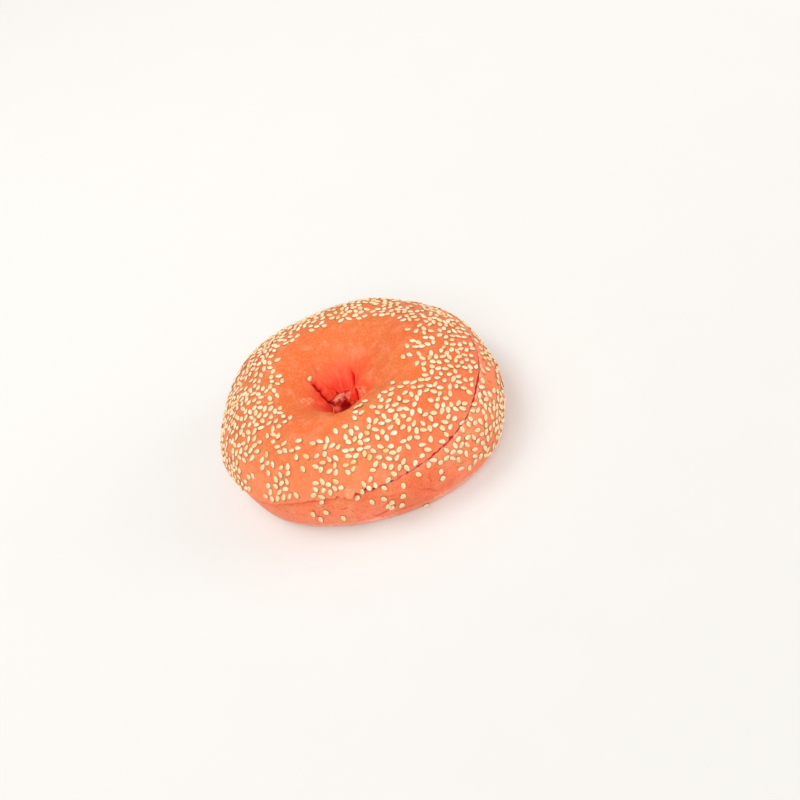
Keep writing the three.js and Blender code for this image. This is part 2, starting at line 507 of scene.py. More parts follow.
@dataclass
class BagelHalf:
    """One half of the bagel: its crust, the face of the cut and, below, the flat base.

    It lies aside by slide, as it slid on the other half. Seeds lie on its crust as thickly as
    seed_cover says round the ring, outside the bare patch round the hole and down to seed_floor
    above the base. Beds are spots with a cover of their own, and strays are seeds placed one by one.
    The lip is how far the crust stands out beside the outer cut, or is tucked in, and where it is
    tucked in a painted shadow of the overhang lies along the rim. The flush is how much of the
    hole's red its flank has. Blisters are chapped spots, flakes are bits of crumb that stand up in
    the hole, and the shade spots are painted shade, as red as a fold's.
    """

    name: str
    node: str
    slot: Slot
    side: Side
    slide: tuple[float, float]
    seed_cover: Stops
    lip: Stops
    tears: tuple[Tear, ...]
    seed_floor: Stops = NOWHERE
    bare_patch: Stops = NOWHERE
    flush: Stops = NOWHERE
    beds: tuple[Spot, ...] = ()
    strays: tuple[Stray, ...] = ()
    blisters: tuple[Spot, ...] = ()
    flakes: tuple[Spot, ...] = ()
    # Spots of painted shade, as red as a fold's: dark knots at the rim and dark places deep in the hole.
    shade_spots: tuple[Spot, ...] = ()
    inner_tears: tuple[Tear, ...] = ()
    form: RingForm = field(default_factory=RingForm)
    cut: Cut = field(default_factory=Cut)
    columns: int = 600
    skin_rows: int = 118
    throat_rows: int = 34
    face_rows: int = 26
    base_rows: int = 12
    rim_halvings: int = 40
    rim_crowding: float = 0.6
    face_crowding: float = 0.75
    rim_round: float = 0.28
    lip_reach: float = 4.0
    tear_reach: float = 2.2
    ragged: float = 0.09
    ragged_waves: tuple[tuple[int, float, float], ...] = ((31, 1.0, 1.0), (53, 0.7, 0.0), (97, 0.6, 2.0))
    inner_gap: float = -0.07
    # The seam fields set painted shade on the cut faces just inside the crust, outer and inner, where the gap
    # of the cut shows as a dark line.
    inner_seam: Stops = ((40, 0.0), (115, 0.0), (140, 0.8), (300, 0.8), (330, 0.3))
    inner_seam_reach: Ramp = (5.0, 3.0)
    seam_shade: float = 0.72
    seam_start: Ramp = (0.1, 0.35)
    seam_reach: Ramp = (7.0, 4.0)
    face_settles: Ramp = (0.2, 2.0)
    red_core: Ramp = (18.0, 12.0)
    red_core_crumb: float = 0.5
    # How strong the painted shadow is under the overhang of the top half, where this crust is tucked in.
    overhang_shade: float = 0.9
    shade_reach: float = 2.2
    flush_stations: Ramp = (2.1, 1.5)
    hollow_drop: Ramp = (4.0, 15.0)
    hollow_lag: Stops = ((12, -1.5), (60, 0.0), (290, 0.0), (340, -1.0))
    lip_pallor: float = 1.6
    pale_lip: Ramp = (-0.1, 0.3)
    pale_rim: float = 0.45
    flake_pallor: float = 0.4
    wobble: Wobble = Wobble()
    stray_rise: float = 1.1
    rim_clear: float = 0.15
    rim_fade: float = 0.8
    bare_fade: Ramp = (-0.8, 1.2)
    floor_fade: Ramp = (-1.5, 2.5)
    last_seed_station: float = 2.75

    @property
    def degrees(self) -> Points:
        """The angle of each column of the mesh."""
        return np.arange(self.columns) * 360.0 / self.columns

    def place(self, station: Points) -> Points:
        """Give crust points where this half lies, in rows of columns."""
        point = self.form.skin(station, np.broadcast_to(self.degrees, station.shape))
        return point + np.array([*self.slide, 0.0])

    def beside(self, tear: Tear, radius: float) -> Points:
        """Give how far each column is from a tear, along a rim of the radius."""
        return np.radians(turn_between(tear.angle, self.degrees)) * radius

    def rim_lift(self, tears: tuple[Tear, ...], radius: float) -> Points:
        """Give how far a torn rim is lifted off the cut in each column.

        Args:
            tears: the places where it is torn.
            radius: the rim's rough radius.

        Returns:
            The lift in each column.
        """
        turn = np.radians(self.degrees)
        lift = self.ragged * sum(share * np.sin(count * turn + phase)
                                 for count, share, phase in self.ragged_waves)
        for tear in tears:
            lift = lift + tear.lift * bell(self.beside(tear, radius), tear.width)
        return lift

    def rim_flare(self) -> Points:
        """Give how far the torn rim stands out.

        Returns:
            The distance in each column.
        """
        flare = np.zeros(self.columns)
        for tear in self.tears:
            flare = flare + tear.flare * bell(self.beside(tear, self.form.outer_radius), tear.width, 4)
        return flare

    def rim_station(self, low: float, high: float, lift: Points) -> Points:
        """Find the station in each column where the crust meets this side of the cut.

        Args:
            low: a station below the cut.
            high: a station above the cut.
            lift: how far from the cut the crust ends, in each column.

        Returns:
            The stations.
        """
        below = np.full(self.columns, low, dtype=float)
        above = np.full(self.columns, high, dtype=float)
        for _ in range(self.rim_halvings):
            middle = (below + above) / 2
            point = self.place(middle)
            wanted = self.cut.height_at(point) + self.side.value * (self.cut.gap / 2 + lift)
            under = point[..., 2] < wanted
            below = np.where(under, middle, below)
            above = np.where(under, above, middle)
        return (below + above) / 2

    def crowd(self, rows: int, rim_first: bool, rim_last: bool) -> Points:
        """Space rows of crust, closer together towards the rims of the cut.

        Args:
            rows: how many steps there are between the first row and the last.
            rim_first: whether the first row is a rim of the cut.
            rim_last: whether the last row is a rim of the cut.

        Returns:
            Each row's share of the way, from 0 to 1.
        """
        share = np.linspace(0, 1, rows + 1)
        crowding = self.rim_crowding / FULL_TURN
        if rim_first and rim_last:
            return share - crowding * np.sin(FULL_TURN * share)
        eased = share - 2 * crowding * np.sin(FULL_TURN * share / 2)
        return eased if rim_first else 1 - eased[::-1]

    def skin_strip(self, first: Points, last: Points, rows: int, rim_first: bool,
                   rim_last: bool) -> Strip:
        """Build rows of crust from one station to another, with round edges at the cut.

        Args:
            first: the station of the first row, in each column.
            last: the station of the last row, in each column.
            rows: how many steps there are between them.
            rim_first: whether the first row is a rim of the cut.
            rim_last: whether the last row is a rim of the cut.

        Returns:
            The rows and their marks.
        """
        station = first + (last - first) * self.crowd(rows, rim_first, rim_last)[:, None]
        degrees = np.broadcast_to(self.degrees, station.shape)
        point = self.place(station)
        step = np.linalg.norm(np.diff(point, axis=0), axis=-1)
        run = np.concatenate([np.zeros((1, self.columns)), np.cumsum(step, axis=0)])
        from_first = run if rim_first else np.full(run.shape, np.inf)
        from_last = run[-1] - run if rim_last else np.full(run.shape, np.inf)
        off_rim = np.minimum(from_first, from_last)
        outer = station < Station.CREST
        flare = self.rim_flare() * bell(off_rim, self.tear_reach) * outer
        lip = around(self.lip, degrees) * bell(off_rim, self.lip_reach) * outer
        normal = self.form.normal(station, degrees)
        point = point + normal * (flare + lip - self.rim_inset(off_rim))[..., None]
        # The hole's red deepens with the drop below the crest, sooner at some angles: partly unbrowned dough,
        # partly painted shade.
        crest_drop = self.form.crest_height - point[..., 2] - around(self.hollow_lag, degrees)
        flakes = self.spread(point, self.flakes, np.zeros(station.shape))
        point = point + normal * flakes[..., None]
        marks = self.skin_marks(point, station, degrees, off_rim)
        hollow = ease(crest_drop, *self.hollow_drop) * (station > Station.CREST)
        marks[Mark.HOLLOW] = np.maximum(hollow, marks[Mark.HOLLOW])
        marks[Mark.CRUMB] = np.maximum(marks[Mark.CRUMB], np.clip(self.flake_pallor * flakes, 0, 1))
        return Strip(point, marks)

    def skin_marks(self, point: Points, station: Points, degrees: Points,
                   off_rim: Points) -> dict[Mark, Points]:
        """Give the marks on the crust, but for the hollow's red, partly painted shade, and the crumb of its
        flakes.

        Args:
            point: points of the crust.
            station: where along the section they are.
            degrees: where round the ring they are.
            off_rim: how far they are from the cut.

        Returns:
            The value of each mark at each point.
        """
        outer = station < Station.CREST
        lip = around(self.lip, degrees)
        _, fold = self.form.fold_share(self.form.smooth_skin(station, degrees))
        # Painted shadow of the overhang: where the crust is tucked in beside the cut, painted shade rises
        # towards the rim.
        tucked = np.clip(-lip, 0, 1) * self.overhang_shade * outer
        fold = np.maximum(fold, tucked * np.exp(-off_rim / self.shade_reach))
        nothing = np.zeros(station.shape)
        # The rim is crumb all through over a third of its pale width, and fades over the rest.
        crumb = np.where(outer, ease(off_rim, self.pale_rim, self.pale_rim / 3), 0.0)
        pale = np.exp(-off_rim / self.lip_pallor) * ease(lip, *self.pale_lip)
        return {
            Mark.CRUMB: crumb,
            Mark.FOLD: np.maximum(fold, self.spread(point, self.shade_spots, nothing)),
            Mark.HOLLOW: around(self.flush, degrees) * ease(station, *self.flush_stations),
            Mark.RIM: np.where(outer, pale, 0.0),
            Mark.BLISTER: self.spread(point, self.blisters, nothing),
            Mark.COVER: self.cover(point, station, degrees, off_rim),
        }

    def spread(self, point: Points, spots: tuple[Spot, ...], amount: Points) -> Points:
        """Blend the amounts of spots into a value on the crust.

        Args:
            point: points of the crust.
            spots: the spots.
            amount: the value without them.

        Returns:
            The value with them.
        """
        wobble = self.wobble.at(point)
        for spot in spots:
            centre = self.form.skin(np.array([spot.station]), np.array([spot.angle]))[0]
            away = np.linalg.norm(point - centre - np.array([*self.slide, 0.0]), axis=-1) + wobble
            share = ease(away, spot.reach, spot.solid * spot.reach)
            amount = amount + (spot.amount - amount) * share
        return amount

    def rim_inset(self, off_rim: Points) -> Points:
        """Give how far a round edge draws the crust in, by the distance to the rim."""
        into = np.clip(1 - off_rim / self.rim_round, 0, 1)
        return self.rim_round * (1 - np.sqrt(1 - into ** 2))

    def cover(self, point: Points, station: Points, degrees: Points, off_rim: Points) -> Points:
        """Give how thickly seeds lie on the crust, where 1 is the usual cover.

        Args:
            point: points of the crust.
            station: where along the section they are.
            degrees: where round the ring they are.
            off_rim: how far they are from the cut.

        Returns:
            The cover at each point.
        """
        radius, _ = self.form.section(station)
        amount = around(self.seed_cover, degrees)
        amount = amount * ease(radius - around(self.bare_patch, degrees), *self.bare_fade)
        amount = amount * ease(point[..., 2] - around(self.seed_floor, degrees), *self.floor_fade)
        amount = amount * ease(off_rim, self.rim_clear, self.rim_clear + self.rim_fade)
        amount = np.where(station > self.last_seed_station, 0.0, amount)
        return self.spread(point, self.beds, amount) * (off_rim > self.rim_clear)

    def face_strip(self, start: Points, end: Points, rows: int, crumb: float) -> Strip:
        """Build the rows of a flat face between two edges, without the edges themselves.

        Args:
            start: points of the edge that the rows start from.
            end: points of the edge that they end at.
            rows: how many steps there are between the edges.
            crumb: how far the face is crumb, from 0 to 1.

        Returns:
            The rows and their marks.
        """
        share = np.linspace(0, 1, rows + 1)[1:-1]
        share = share - self.face_crowding / FULL_TURN * np.sin(FULL_TURN * share)
        point = start + (end - start) * share[:, None, None]
        if crumb:
            to_edge = np.minimum(np.linalg.norm(point - start, axis=-1), np.linalg.norm(point - end, axis=-1))
            level = self.cut.height_at(point) + self.side.value * self.cut.gap / 2
            point[..., 2] += (level - point[..., 2]) * ease(to_edge, *self.face_settles)
        nothing = np.zeros(point.shape[:2])
        x, y, _ = np.moveaxis(point, -1, 0)
        near_hole = ease(np.hypot(x, y), *self.red_core) * bool(crumb)
        return Strip(point, {
            Mark.CRUMB: crumb * (1 - self.red_core_crumb * near_hole),
            Mark.FOLD: self.seam(point, start, end),
            Mark.HOLLOW: near_hole,
        } | {mark: nothing for mark in (Mark.RIM, Mark.BLISTER, Mark.COVER)})

    def seam(self, point: Points, start: Points, end: Points) -> Points:
        """Give the painted shade on a face just inside the crust, so that the cut is seen as a dark seam.

        Args:
            point: points of the face.
            start: points of the edge that its rows start from.
            end: points of the edge that they end at.

        Returns:
            The amount at each point.
        """
        from_start, from_end = (np.linalg.norm(point - edge, axis=-1) for edge in (start, end))
        if self.side is Side.TOP:
            return self.seam_shade * ease(np.minimum(from_start, from_end), *self.seam_reach)
        outer = self.seam_shade * ease(from_start, *self.seam_start) * ease(from_start, *self.seam_reach)
        inner = around(self.inner_seam, self.degrees) * ease(from_end, *self.inner_seam_reach)
        return np.maximum(outer, inner)

    def strips(self) -> list[Strip]:
        """Build all rows of the half in order, so that the last one meets the first.

        Returns:
            The strips of rows.
        """
        outer_lift = self.rim_lift(self.tears, self.form.outer_radius)
        outer = self.rim_station(Station.WIDEST, Station.CREST, outer_lift)
        inner_lift = self.inner_gap + self.rim_lift(self.inner_tears, self.form.neck_radius)
        inner = self.rim_station(Station.NECK, Station.CREST, np.maximum(inner_lift, self.inner_gap))
        if self.side is Side.TOP:
            skin = self.skin_strip(outer, inner, self.skin_rows, True, True)
            face = self.face_strip(skin.points[-1], skin.points[0], self.face_rows, 1.0)
            return [skin, face]
        base_edge, base_hole = (np.full(self.columns, end, dtype=float)
                                for end in (Station.BASE_EDGE, Station.BASE_HOLE))
        heel = self.skin_strip(base_edge, outer, self.skin_rows - self.throat_rows, False, True)
        throat = self.skin_strip(inner, base_hole, self.throat_rows, True, False)
        face = self.face_strip(heel.points[-1], throat.points[0], self.face_rows, 1.0)
        base = self.face_strip(throat.points[-1], heel.points[0], self.base_rows, 0.0)
        return [heel, face, throat, base]

    def raw_object(self) -> bpy.types.Object:
        """Make the half's closed mesh, with its marks, before the fine relief.

        Returns:
            The object that has the mesh.
        """
        strips = self.strips()
        points = np.concatenate([strip.points for strip in strips]) * MM
        rows, columns = points.shape[:2]
        index = np.arange(rows * columns).reshape(rows, columns)
        right, below = np.roll(index, -1, axis=1), np.roll(index, -1, axis=0)
        corner = np.roll(below, -1, axis=1)
        faces = np.stack([index, right, corner, below], axis=-1).reshape(-1, 4)
        mesh = bpy.data.meshes.new(self.name)
        mesh.from_pydata(points.reshape(-1, 3).tolist(), [], faces.tolist())
        for mark in strips[0].marks:
            values = np.concatenate([strip.marks[mark] for strip in strips]).ravel()
            mesh.attributes.new(mark.value, "FLOAT", "POINT").data.foreach_set("value", values)
        made = bpy.data.objects.new(self.name, mesh)
        bpy.context.scene.collection.objects.link(made)
        return made

    def stray_seeds(self) -> list[tuple[Points, Matrix]]:
        """Lay the seeds that are placed one by one.

        Returns:
            For each seed its place, and its axes with its length along Y and its top along Z.
        """
        made = []
        for stray in self.strays:
            place = np.array([stray.station]), np.array([stray.angle])
            centre = self.form.skin(*place)[0] + np.array([*self.slide, 0.0])
            out = Vector(self.form.normal(*place)[0])
            centre = centre + np.array(out) * self.stray_rise * math.sin(math.radians(stray.lean))
            angle = math.radians(stray.angle)
            along_ring = Vector((-math.sin(angle), math.cos(angle), 0))
            along_ring = (along_ring - out * along_ring.dot(out)).normalized()
            out.rotate(Matrix.Rotation(math.radians(-stray.lean), 3, along_ring))
            length = Matrix.Rotation(math.radians(stray.turn), 3, out) @ along_ring
            rise = Matrix.Rotation(math.radians(stray.pitch), 3, length.cross(out))
            length, out = rise @ length, rise @ out
            made.append((centre, Matrix((length.cross(out), length, out)).transposed()))
        return made

    def build(self, relief: "DoughRelief", finish: bpy.types.Material) -> bpy.types.Object:
        """Make the half with its fine relief and finish, in place of its solid.

        Args:
            relief: the tree that adds the fine relief.
            finish: the material of crust and crumb.

        Returns:
            The finished half.
        """
        made = self.raw_object()
        relief.apply(made, finish)
        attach(made, "root")
        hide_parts(self.node)
        return made


def feed(socket: bpy.types.NodeSocket, value: Any) -> None:
    """Link an input to the output that feeds it, or set its value.

    Args:
        socket: the input.
        value: the output or the value.
    """
    if isinstance(value, bpy.types.NodeSocket):
        socket.id_data.links.new(value, socket)
    else:
        socket.default_value = value


class NodeBuilder:
    """What adds nodes to a tree."""

    def __init__(self, tree: bpy.types.NodeTree) -> None:
        """Start on a tree.

        Args:
            tree: the tree that the nodes join.
        """
        self.tree = tree

    def add(self, kind: str, inputs: dict[str, Any] | tuple[Any, ...] = (), out: str | None = None,
            **settings: Any) -> bpy.types.NodeSocket:
        """Add a node, set it up, feed its inputs and pick one of its outputs.

        Args:
            kind: the node's type name.
            inputs: for each input, by name or in order, a value or the output that feeds it.
            out: the name of the output that is wanted, or None for the first one in use.
            **settings: values of the node's own properties.

        Returns:
            The output.
        """
        node = self.tree.nodes.new(kind)
        for name, value in settings.items():
            setattr(node, name, value)
        if isinstance(inputs, dict):
            for name, value in inputs.items():
                feed(next(s for s in node.inputs if s.enabled and s.name == name), value)
        else:
            for socket, value in zip(node.inputs, inputs):
                feed(socket, value)
        return next(s for s in node.outputs if s.enabled and out in (None, s.name))


class ShapeTree(NodeBuilder):
    """A Geometry Nodes tree with named inputs, and what puts it on an object and applies it."""

    def __init__(self, name: str) -> None:
        """Start an empty tree.

        Args:
            name: the tree's name.
        """
        super().__init__(bpy.data.node_groups.new(name, "GeometryNodeTree"))
        self.entry = self.tree.nodes.new("NodeGroupInput")
        self.exit = self.tree.nodes.new("NodeGroupOutput")
        self.sockets: dict[str, str] = {}
        self.tree.interface.new_socket("Geometry", in_out="OUTPUT", socket_type="NodeSocketGeometry")
        self.given = self.input("Geometry", "NodeSocketGeometry")

    def input(self, name: str, kind: str = "NodeSocketFloat") -> bpy.types.NodeSocket:
        """Add a named input to the tree.

        Args:
            name: the input's name.
            kind: its socket type.

        Returns:
            The socket inside the tree.
        """
        made = self.tree.interface.new_socket(name, in_out="INPUT", socket_type=kind)
        self.sockets[name] = made.identifier
        return self.entry.outputs[name]

    def finish(self, geometry: bpy.types.NodeSocket) -> None:
        """End the tree: real mesh, smooth shading and the finish, which is its last input.

        Args:
            geometry: what the tree has made.
        """
        real = self.add("GeometryNodeRealizeInstances", {"Geometry": geometry})
        smooth = self.add("GeometryNodeSetShadeSmooth", {"Geometry": real})
        finish = self.input("Finish", "NodeSocketMaterial")
        dressed = self.add("GeometryNodeSetMaterial", {"Geometry": smooth, "Material": finish})
        feed(self.exit.inputs["Geometry"], dressed)

    def run(self, target: bpy.types.Object, values: dict[str, Any]) -> None:
        """Put the tree on an object, set its inputs and turn the result into a plain mesh.

        Args:
            target: the object that it works on.
            values: the value of each named input.
        """
        modifier = target.modifiers.new(self.tree.name, "NODES")
        modifier.node_group = self.tree
        for name, value in values.items():
            modifier[self.sockets[name]] = value
        evaluated = target.evaluated_get(bpy.context.evaluated_depsgraph_get())
        mesh = bpy.data.meshes.new_from_object(evaluated)
        target.modifiers.clear()
        target.data = mesh
        mesh.name = target.name


@dataclass(frozen=True)
class Waves:
    """Soft random waves in the dough's skin: their length and height."""

    length: float
    height: float


@dataclass
class DoughRelief:
    """The fine relief of baked dough: shallow ripples in the skin, and open pores in the crumb.

    Pores open where a noise passes pore_start, and deepen by pore_slope past it. The flat base
    stays flat, and the relief grows over base_margin above it.
    """

    ripple: Waves = Waves(7.0, 0.15)
    grain: Waves = Waves(1.8, 0.045)
    blister: Waves = Waves(1.1, 0.35)
    wave_detail: float = 1.5
    pore_length: float = 1.6
    pore_depth: float = 0.6
    pore_detail: float = 3.0
    pore_roughness: float = 0.7
    pore_start: float = 0.38
    pore_slope: float = 3.0
    base_margin: float = 3.0

    def __post_init__(self) -> None:
        """Build the tree once, for both halves."""
        self.shape = shape = ShapeTree("dough_relief")
        crumb, blister = (
            shape.add("GeometryNodeInputNamedAttribute", {"Name": mark.value}, data_type="FLOAT")
            for mark in (Mark.CRUMB, Mark.BLISTER))
        skin = shape.add("ShaderNodeMath", (1.0, crumb), operation="SUBTRACT")
        rise: Any = 0.0
        for name, amount in (("Ripple", skin), ("Grain", skin), ("Blister", blister)):
            noise = shape.add("ShaderNodeTexNoise", {"Scale": shape.input(f"{name} scale"),
                                                     "Detail": self.wave_detail})
            wave = shape.add("ShaderNodeMath", (noise, 0.5), operation="SUBTRACT")
            for factor in (shape.input(f"{name} height"), amount):
                wave = shape.add("ShaderNodeMath", (wave, factor), operation="MULTIPLY")
            rise = shape.add("ShaderNodeMath", (rise, wave), operation="ADD")
        noise = shape.add("ShaderNodeTexNoise", {
            "Scale": shape.input("Pore scale"), "Detail": self.pore_detail,
            "Roughness": self.pore_roughness})
        past = shape.add("ShaderNodeMath", (noise, self.pore_start), operation="SUBTRACT")
        pore = shape.add("ShaderNodeMath", (past, 0.0), operation="MAXIMUM")
        for factor in (self.pore_slope, crumb, shape.input("Pore depth")):
            pore = shape.add("ShaderNodeMath", (pore, factor), operation="MULTIPLY")
        rise = shape.add("ShaderNodeMath", (rise, pore), operation="SUBTRACT")
        place = shape.add("GeometryNodeInputPosition")
        height = shape.add("ShaderNodeSeparateXYZ", (place,), "Z")
        off_base = shape.add("ShaderNodeMapRange", {"Value": height, "From Max": shape.input("Base margin")})
        amount = shape.add("ShaderNodeMath", (rise, off_base), operation="MULTIPLY")
        normal = shape.add("GeometryNodeInputNormal")
        offset = shape.add("ShaderNodeVectorMath", {"Vector": normal, "Scale": amount}, operation="SCALE")
        shape.finish(shape.add("GeometryNodeSetPosition", {"Geometry": shape.given, "Offset": offset}))

    def apply(self, target: bpy.types.Object, finish: bpy.types.Material) -> None:
        """Give an object the relief and its finish.

        Args:
            target: the half's raw object.
            finish: the material that it gets.
        """
        values = {"Pore scale": per_metre(self.pore_length), "Pore depth": self.pore_depth * MM,
                  "Base margin": self.base_margin * MM, "Finish": finish}
        for name, waves in (("Ripple", self.ripple), ("Grain", self.grain), ("Blister", self.blister)):
            values[f"{name} scale"] = per_metre(waves.length)
            values[f"{name} height"] = 2 * waves.height * MM
        self.shape.run(target, values)


class Draw(Enum):
    """The random draws that a seed takes, by the number that keeps each apart from the others."""

    TURN = 1
    SIZE = 2
    DEPTH = 3
    TONE = 4


@dataclass
class SesameScatter:
    """Sesame seeds baked onto the crust, as one mesh of single seeds.

    Each seed is a flattened drop with a thin foot where it is baked in. It is shaped from a ball
    one unit across, so its crown, point and foot are shares of its size. Seeds lie where the
    crust's cover says, no two closer than spacing, turned any way, tilted a little and lifted by a
    random share of rise. They gather in clumps, and between those only the share clump_floor of
    them is left. Stray seeds lie where the halves name them.
    """

    length: float = 3.05
    width: float = 2.1
    thickness: float = 1.7
    crown: float = 0.38
    point: float = 0.5
    foot: float = 0.2
    foot_slope: float = 0.12
    foot_height: float = 0.2
    spacing: float = 2.45
    density: float = 1.0
    clump_length: float = 9.0
    clump_floor: float = 0.6
    clump_edge: Ramp = (0.36, 0.6)
    rise: float = 0.06
    rise_range: tuple[float, float] = (-0.4, 1.0)
    tilt: float = 7.0
    size_spread: float = 0.13
    segments: int = 10
    rings: int = 6
    draw: int = 41

    def seed(self, shape: ShapeTree) -> bpy.types.NodeSocket:
        """Make one seed in the tree, and keep on its points where they were on the plain ball.

        Args:
            shape: the tree that the seed is made in.

        Returns:
            The seed's mesh.
        """
        ball = shape.add("GeometryNodeMeshUVSphere", {"Segments": self.segments, "Rings": self.rings,
                                                      "Radius": BALL_RADIUS})
        place = shape.add("GeometryNodeInputPosition")
        x, y, z = shape.add("ShaderNodeSeparateXYZ", (place,)).node.outputs
        along = shape.add("ShaderNodeMath", (z, BALL_RADIUS), operation="ADD")
        thinned = shape.add("ShaderNodeMath", (along, along), operation="MULTIPLY")
        thinned = shape.add("ShaderNodeMath", (thinned, shape.input("Point")), operation="MULTIPLY")
        taper = shape.add("ShaderNodeMath", (1.0, thinned), operation="SUBTRACT")
        under = shape.add("ShaderNodeMapRange", {"Value": y, "From Min": 0.0, "From Max": -self.foot_height})
        spread = shape.add("ShaderNodeMath", (under, shape.input("Foot"), 1.0), operation="MULTIPLY_ADD")
        crown = shape.add("ShaderNodeMath", (y, shape.input("Crown")), operation="MINIMUM")
        sole = shape.add("ShaderNodeMath", (y, shape.input("Foot slope")), operation="MULTIPLY")
        upper = shape.add("ShaderNodeMath", (crown, sole), operation="MAXIMUM")
        across = shape.add("ShaderNodeMath", (x, taper), operation="MULTIPLY")
        slim = shape.add("ShaderNodeCombineXYZ", tuple(
            shape.add("ShaderNodeMath", pair, operation="MULTIPLY")
            for pair in ((across, spread), (upper, taper), (z, spread))))
        marked = shape.add("GeometryNodeStoreNamedAttribute", {
            "Geometry": ball, "Name": Mark.PLAN.value, "Value": place}, data_type="FLOAT_VECTOR")
        drop = shape.add("GeometryNodeSetPosition", {"Geometry": marked, "Position": slim})
        size = shape.add("ShaderNodeCombineXYZ", tuple(
            shape.input(name) for name in ("Seed width", "Seed thickness", "Seed length")))
        laid = shape.add("GeometryNodeTransform", {"Geometry": drop, "Scale": size})
        return shape.add("GeometryNodeTransform", {"Geometry": laid, "Rotation": (math.pi / 2, 0, 0)})

    def spots(self, shape: ShapeTree) -> bpy.types.NodeSocket:
        """Draw the places and poses of the seeds on both halves, and add the stray ones.

        Args:
            shape: the tree that they are drawn in.

        Returns:
            The points that the seeds lie at.
        """
        crust = shape.add("GeometryNodeJoinGeometry")
        for name in ("Top half", "Bottom half"):
            half = {"Object": shape.input(name, "NodeSocketObject")}
            feed(crust.node.inputs[0], shape.add("GeometryNodeObjectInfo", half, "Geometry"))
        noise = shape.add("ShaderNodeTexNoise", {"Scale": shape.input("Clump scale"), "Detail": 1.0})
        clumps = shape.add("ShaderNodeMapRange", (noise, *self.clump_edge, shape.input("Clump floor")))
        cover = shape.add("GeometryNodeInputNamedAttribute", {"Name": Mark.COVER.value}, data_type="FLOAT")
        drawn = shape.add("GeometryNodeDistributePointsOnFaces", {
            "Mesh": crust, "Distance Min": shape.input("Spacing"), "Density Max": shape.input("Density"),
            "Density Factor": shape.add("ShaderNodeMath", (cover, clumps), operation="MULTIPLY"),
            "Seed": shape.input("Draw", "NodeSocketInt")}, distribute_method="POISSON")
        tilt = math.radians(self.tilt)
        turn = shape.add("FunctionNodeRandomValue", {
            "Min": (-tilt, -tilt, 0.0), "Max": (tilt, tilt, FULL_TURN), "Seed": Draw.TURN.value},
            data_type="FLOAT_VECTOR")
        turned = shape.add("FunctionNodeRotateRotation", {
            "Rotation": drawn.node.outputs["Rotation"],
            "Rotate By": shape.add("FunctionNodeEulerToRotation", (turn,))}, rotation_space="LOCAL")
        posed = shape.add("GeometryNodeStoreNamedAttribute", {
            "Geometry": drawn, "Name": Mark.POSE.value, "Value": turned}, data_type="QUATERNION")
        strays = shape.add("GeometryNodeMeshToPoints", {"Mesh": shape.given})
        spots = shape.add("GeometryNodeJoinGeometry")
        for part in (posed, strays):
            feed(spots.node.inputs[0], part)
        return spots

    def build(self, halves: list[bpy.types.Object], strays: list[tuple[Points, Matrix]],
              finish: bpy.types.Material) -> bpy.types.Object:
        """Scatter the seeds on both halves and make them one plain mesh.

        Args:
            halves: the finished top and bottom halves.
            strays: the places and axes of the stray seeds.
            finish: the seeds' material.

        Returns:
            The mesh of seeds.
        """
        shape = ShapeTree("sesame_scatter")
        size = shape.add("FunctionNodeRandomValue", {
            "Min": (1 - self.size_spread,) * 3, "Max": (1 + self.size_spread,) * 3,
            "Seed": Draw.SIZE.value}, data_type="FLOAT_VECTOR")
        pose = shape.add("GeometryNodeInputNamedAttribute", {"Name": Mark.POSE.value}, data_type="QUATERNION")
        placed = shape.add("GeometryNodeInstanceOnPoints", {
            "Points": self.spots(shape), "Instance": self.seed(shape), "Rotation": pose, "Scale": size})
        depth, tone = (
            shape.add("FunctionNodeRandomValue", {"Min": least, "Max": most, "Seed": draw.value},
                      data_type="FLOAT")
            for draw, least, most in ((Draw.DEPTH, *self.rise_range), (Draw.TONE, 0.0, 1.0)))
        up = shape.add("ShaderNodeMath", (depth, shape.input("Rise")), operation="MULTIPLY")
        lifted = shape.add("GeometryNodeTranslateInstances", {
            "Instances": placed, "Translation": shape.add("ShaderNodeCombineXYZ", {"Z": up}),
            "Local Space": True})
        shape.finish(shape.add("GeometryNodeStoreNamedAttribute", {
            "Geometry": lifted, "Name": Mark.TONE.value, "Value": tone}, data_type="FLOAT",
            domain="INSTANCE"))
        made = self.stray_object(strays)
        shape.run(made, {
            "Top half": halves[0], "Bottom half": halves[1], "Finish": finish,
            "Clump scale": per_metre(self.clump_length), "Clump floor": self.clump_floor,
            "Spacing": self.spacing * MM, "Density": self.density / MM ** 2, "Draw": self.draw,
            "Crown": self.crown, "Point": self.point, "Foot": self.foot, "Foot slope": self.foot_slope,
            "Seed width": self.width * MM, "Seed thickness": self.thickness * MM,
            "Seed length": self.length * MM, "Rise": self.rise * MM,
        })
        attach(made, "root")
        return made

    @staticmethod
    def stray_object(strays: list[tuple[Points, Matrix]]) -> bpy.types.Object:
        """Make an object that has one point for each stray seed, with the pose it lies in.

        Args:
            strays: the places and axes of the stray seeds.

        Returns:
            The object.
        """
        mesh = bpy.data.meshes.new("sesame_seeds")
        mesh.from_pydata([tuple(place * MM) for place, _ in strays], [], [])
        poses = mesh.attributes.new(Mark.POSE.value, "QUATERNION", "POINT")
        poses.data.foreach_set("value", [v for _, axes in strays for v in axes.to_quaternion()])
        made = bpy.data.objects.new("sesame_seeds", mesh)
        bpy.context.scene.collection.objects.link(made)
        return made


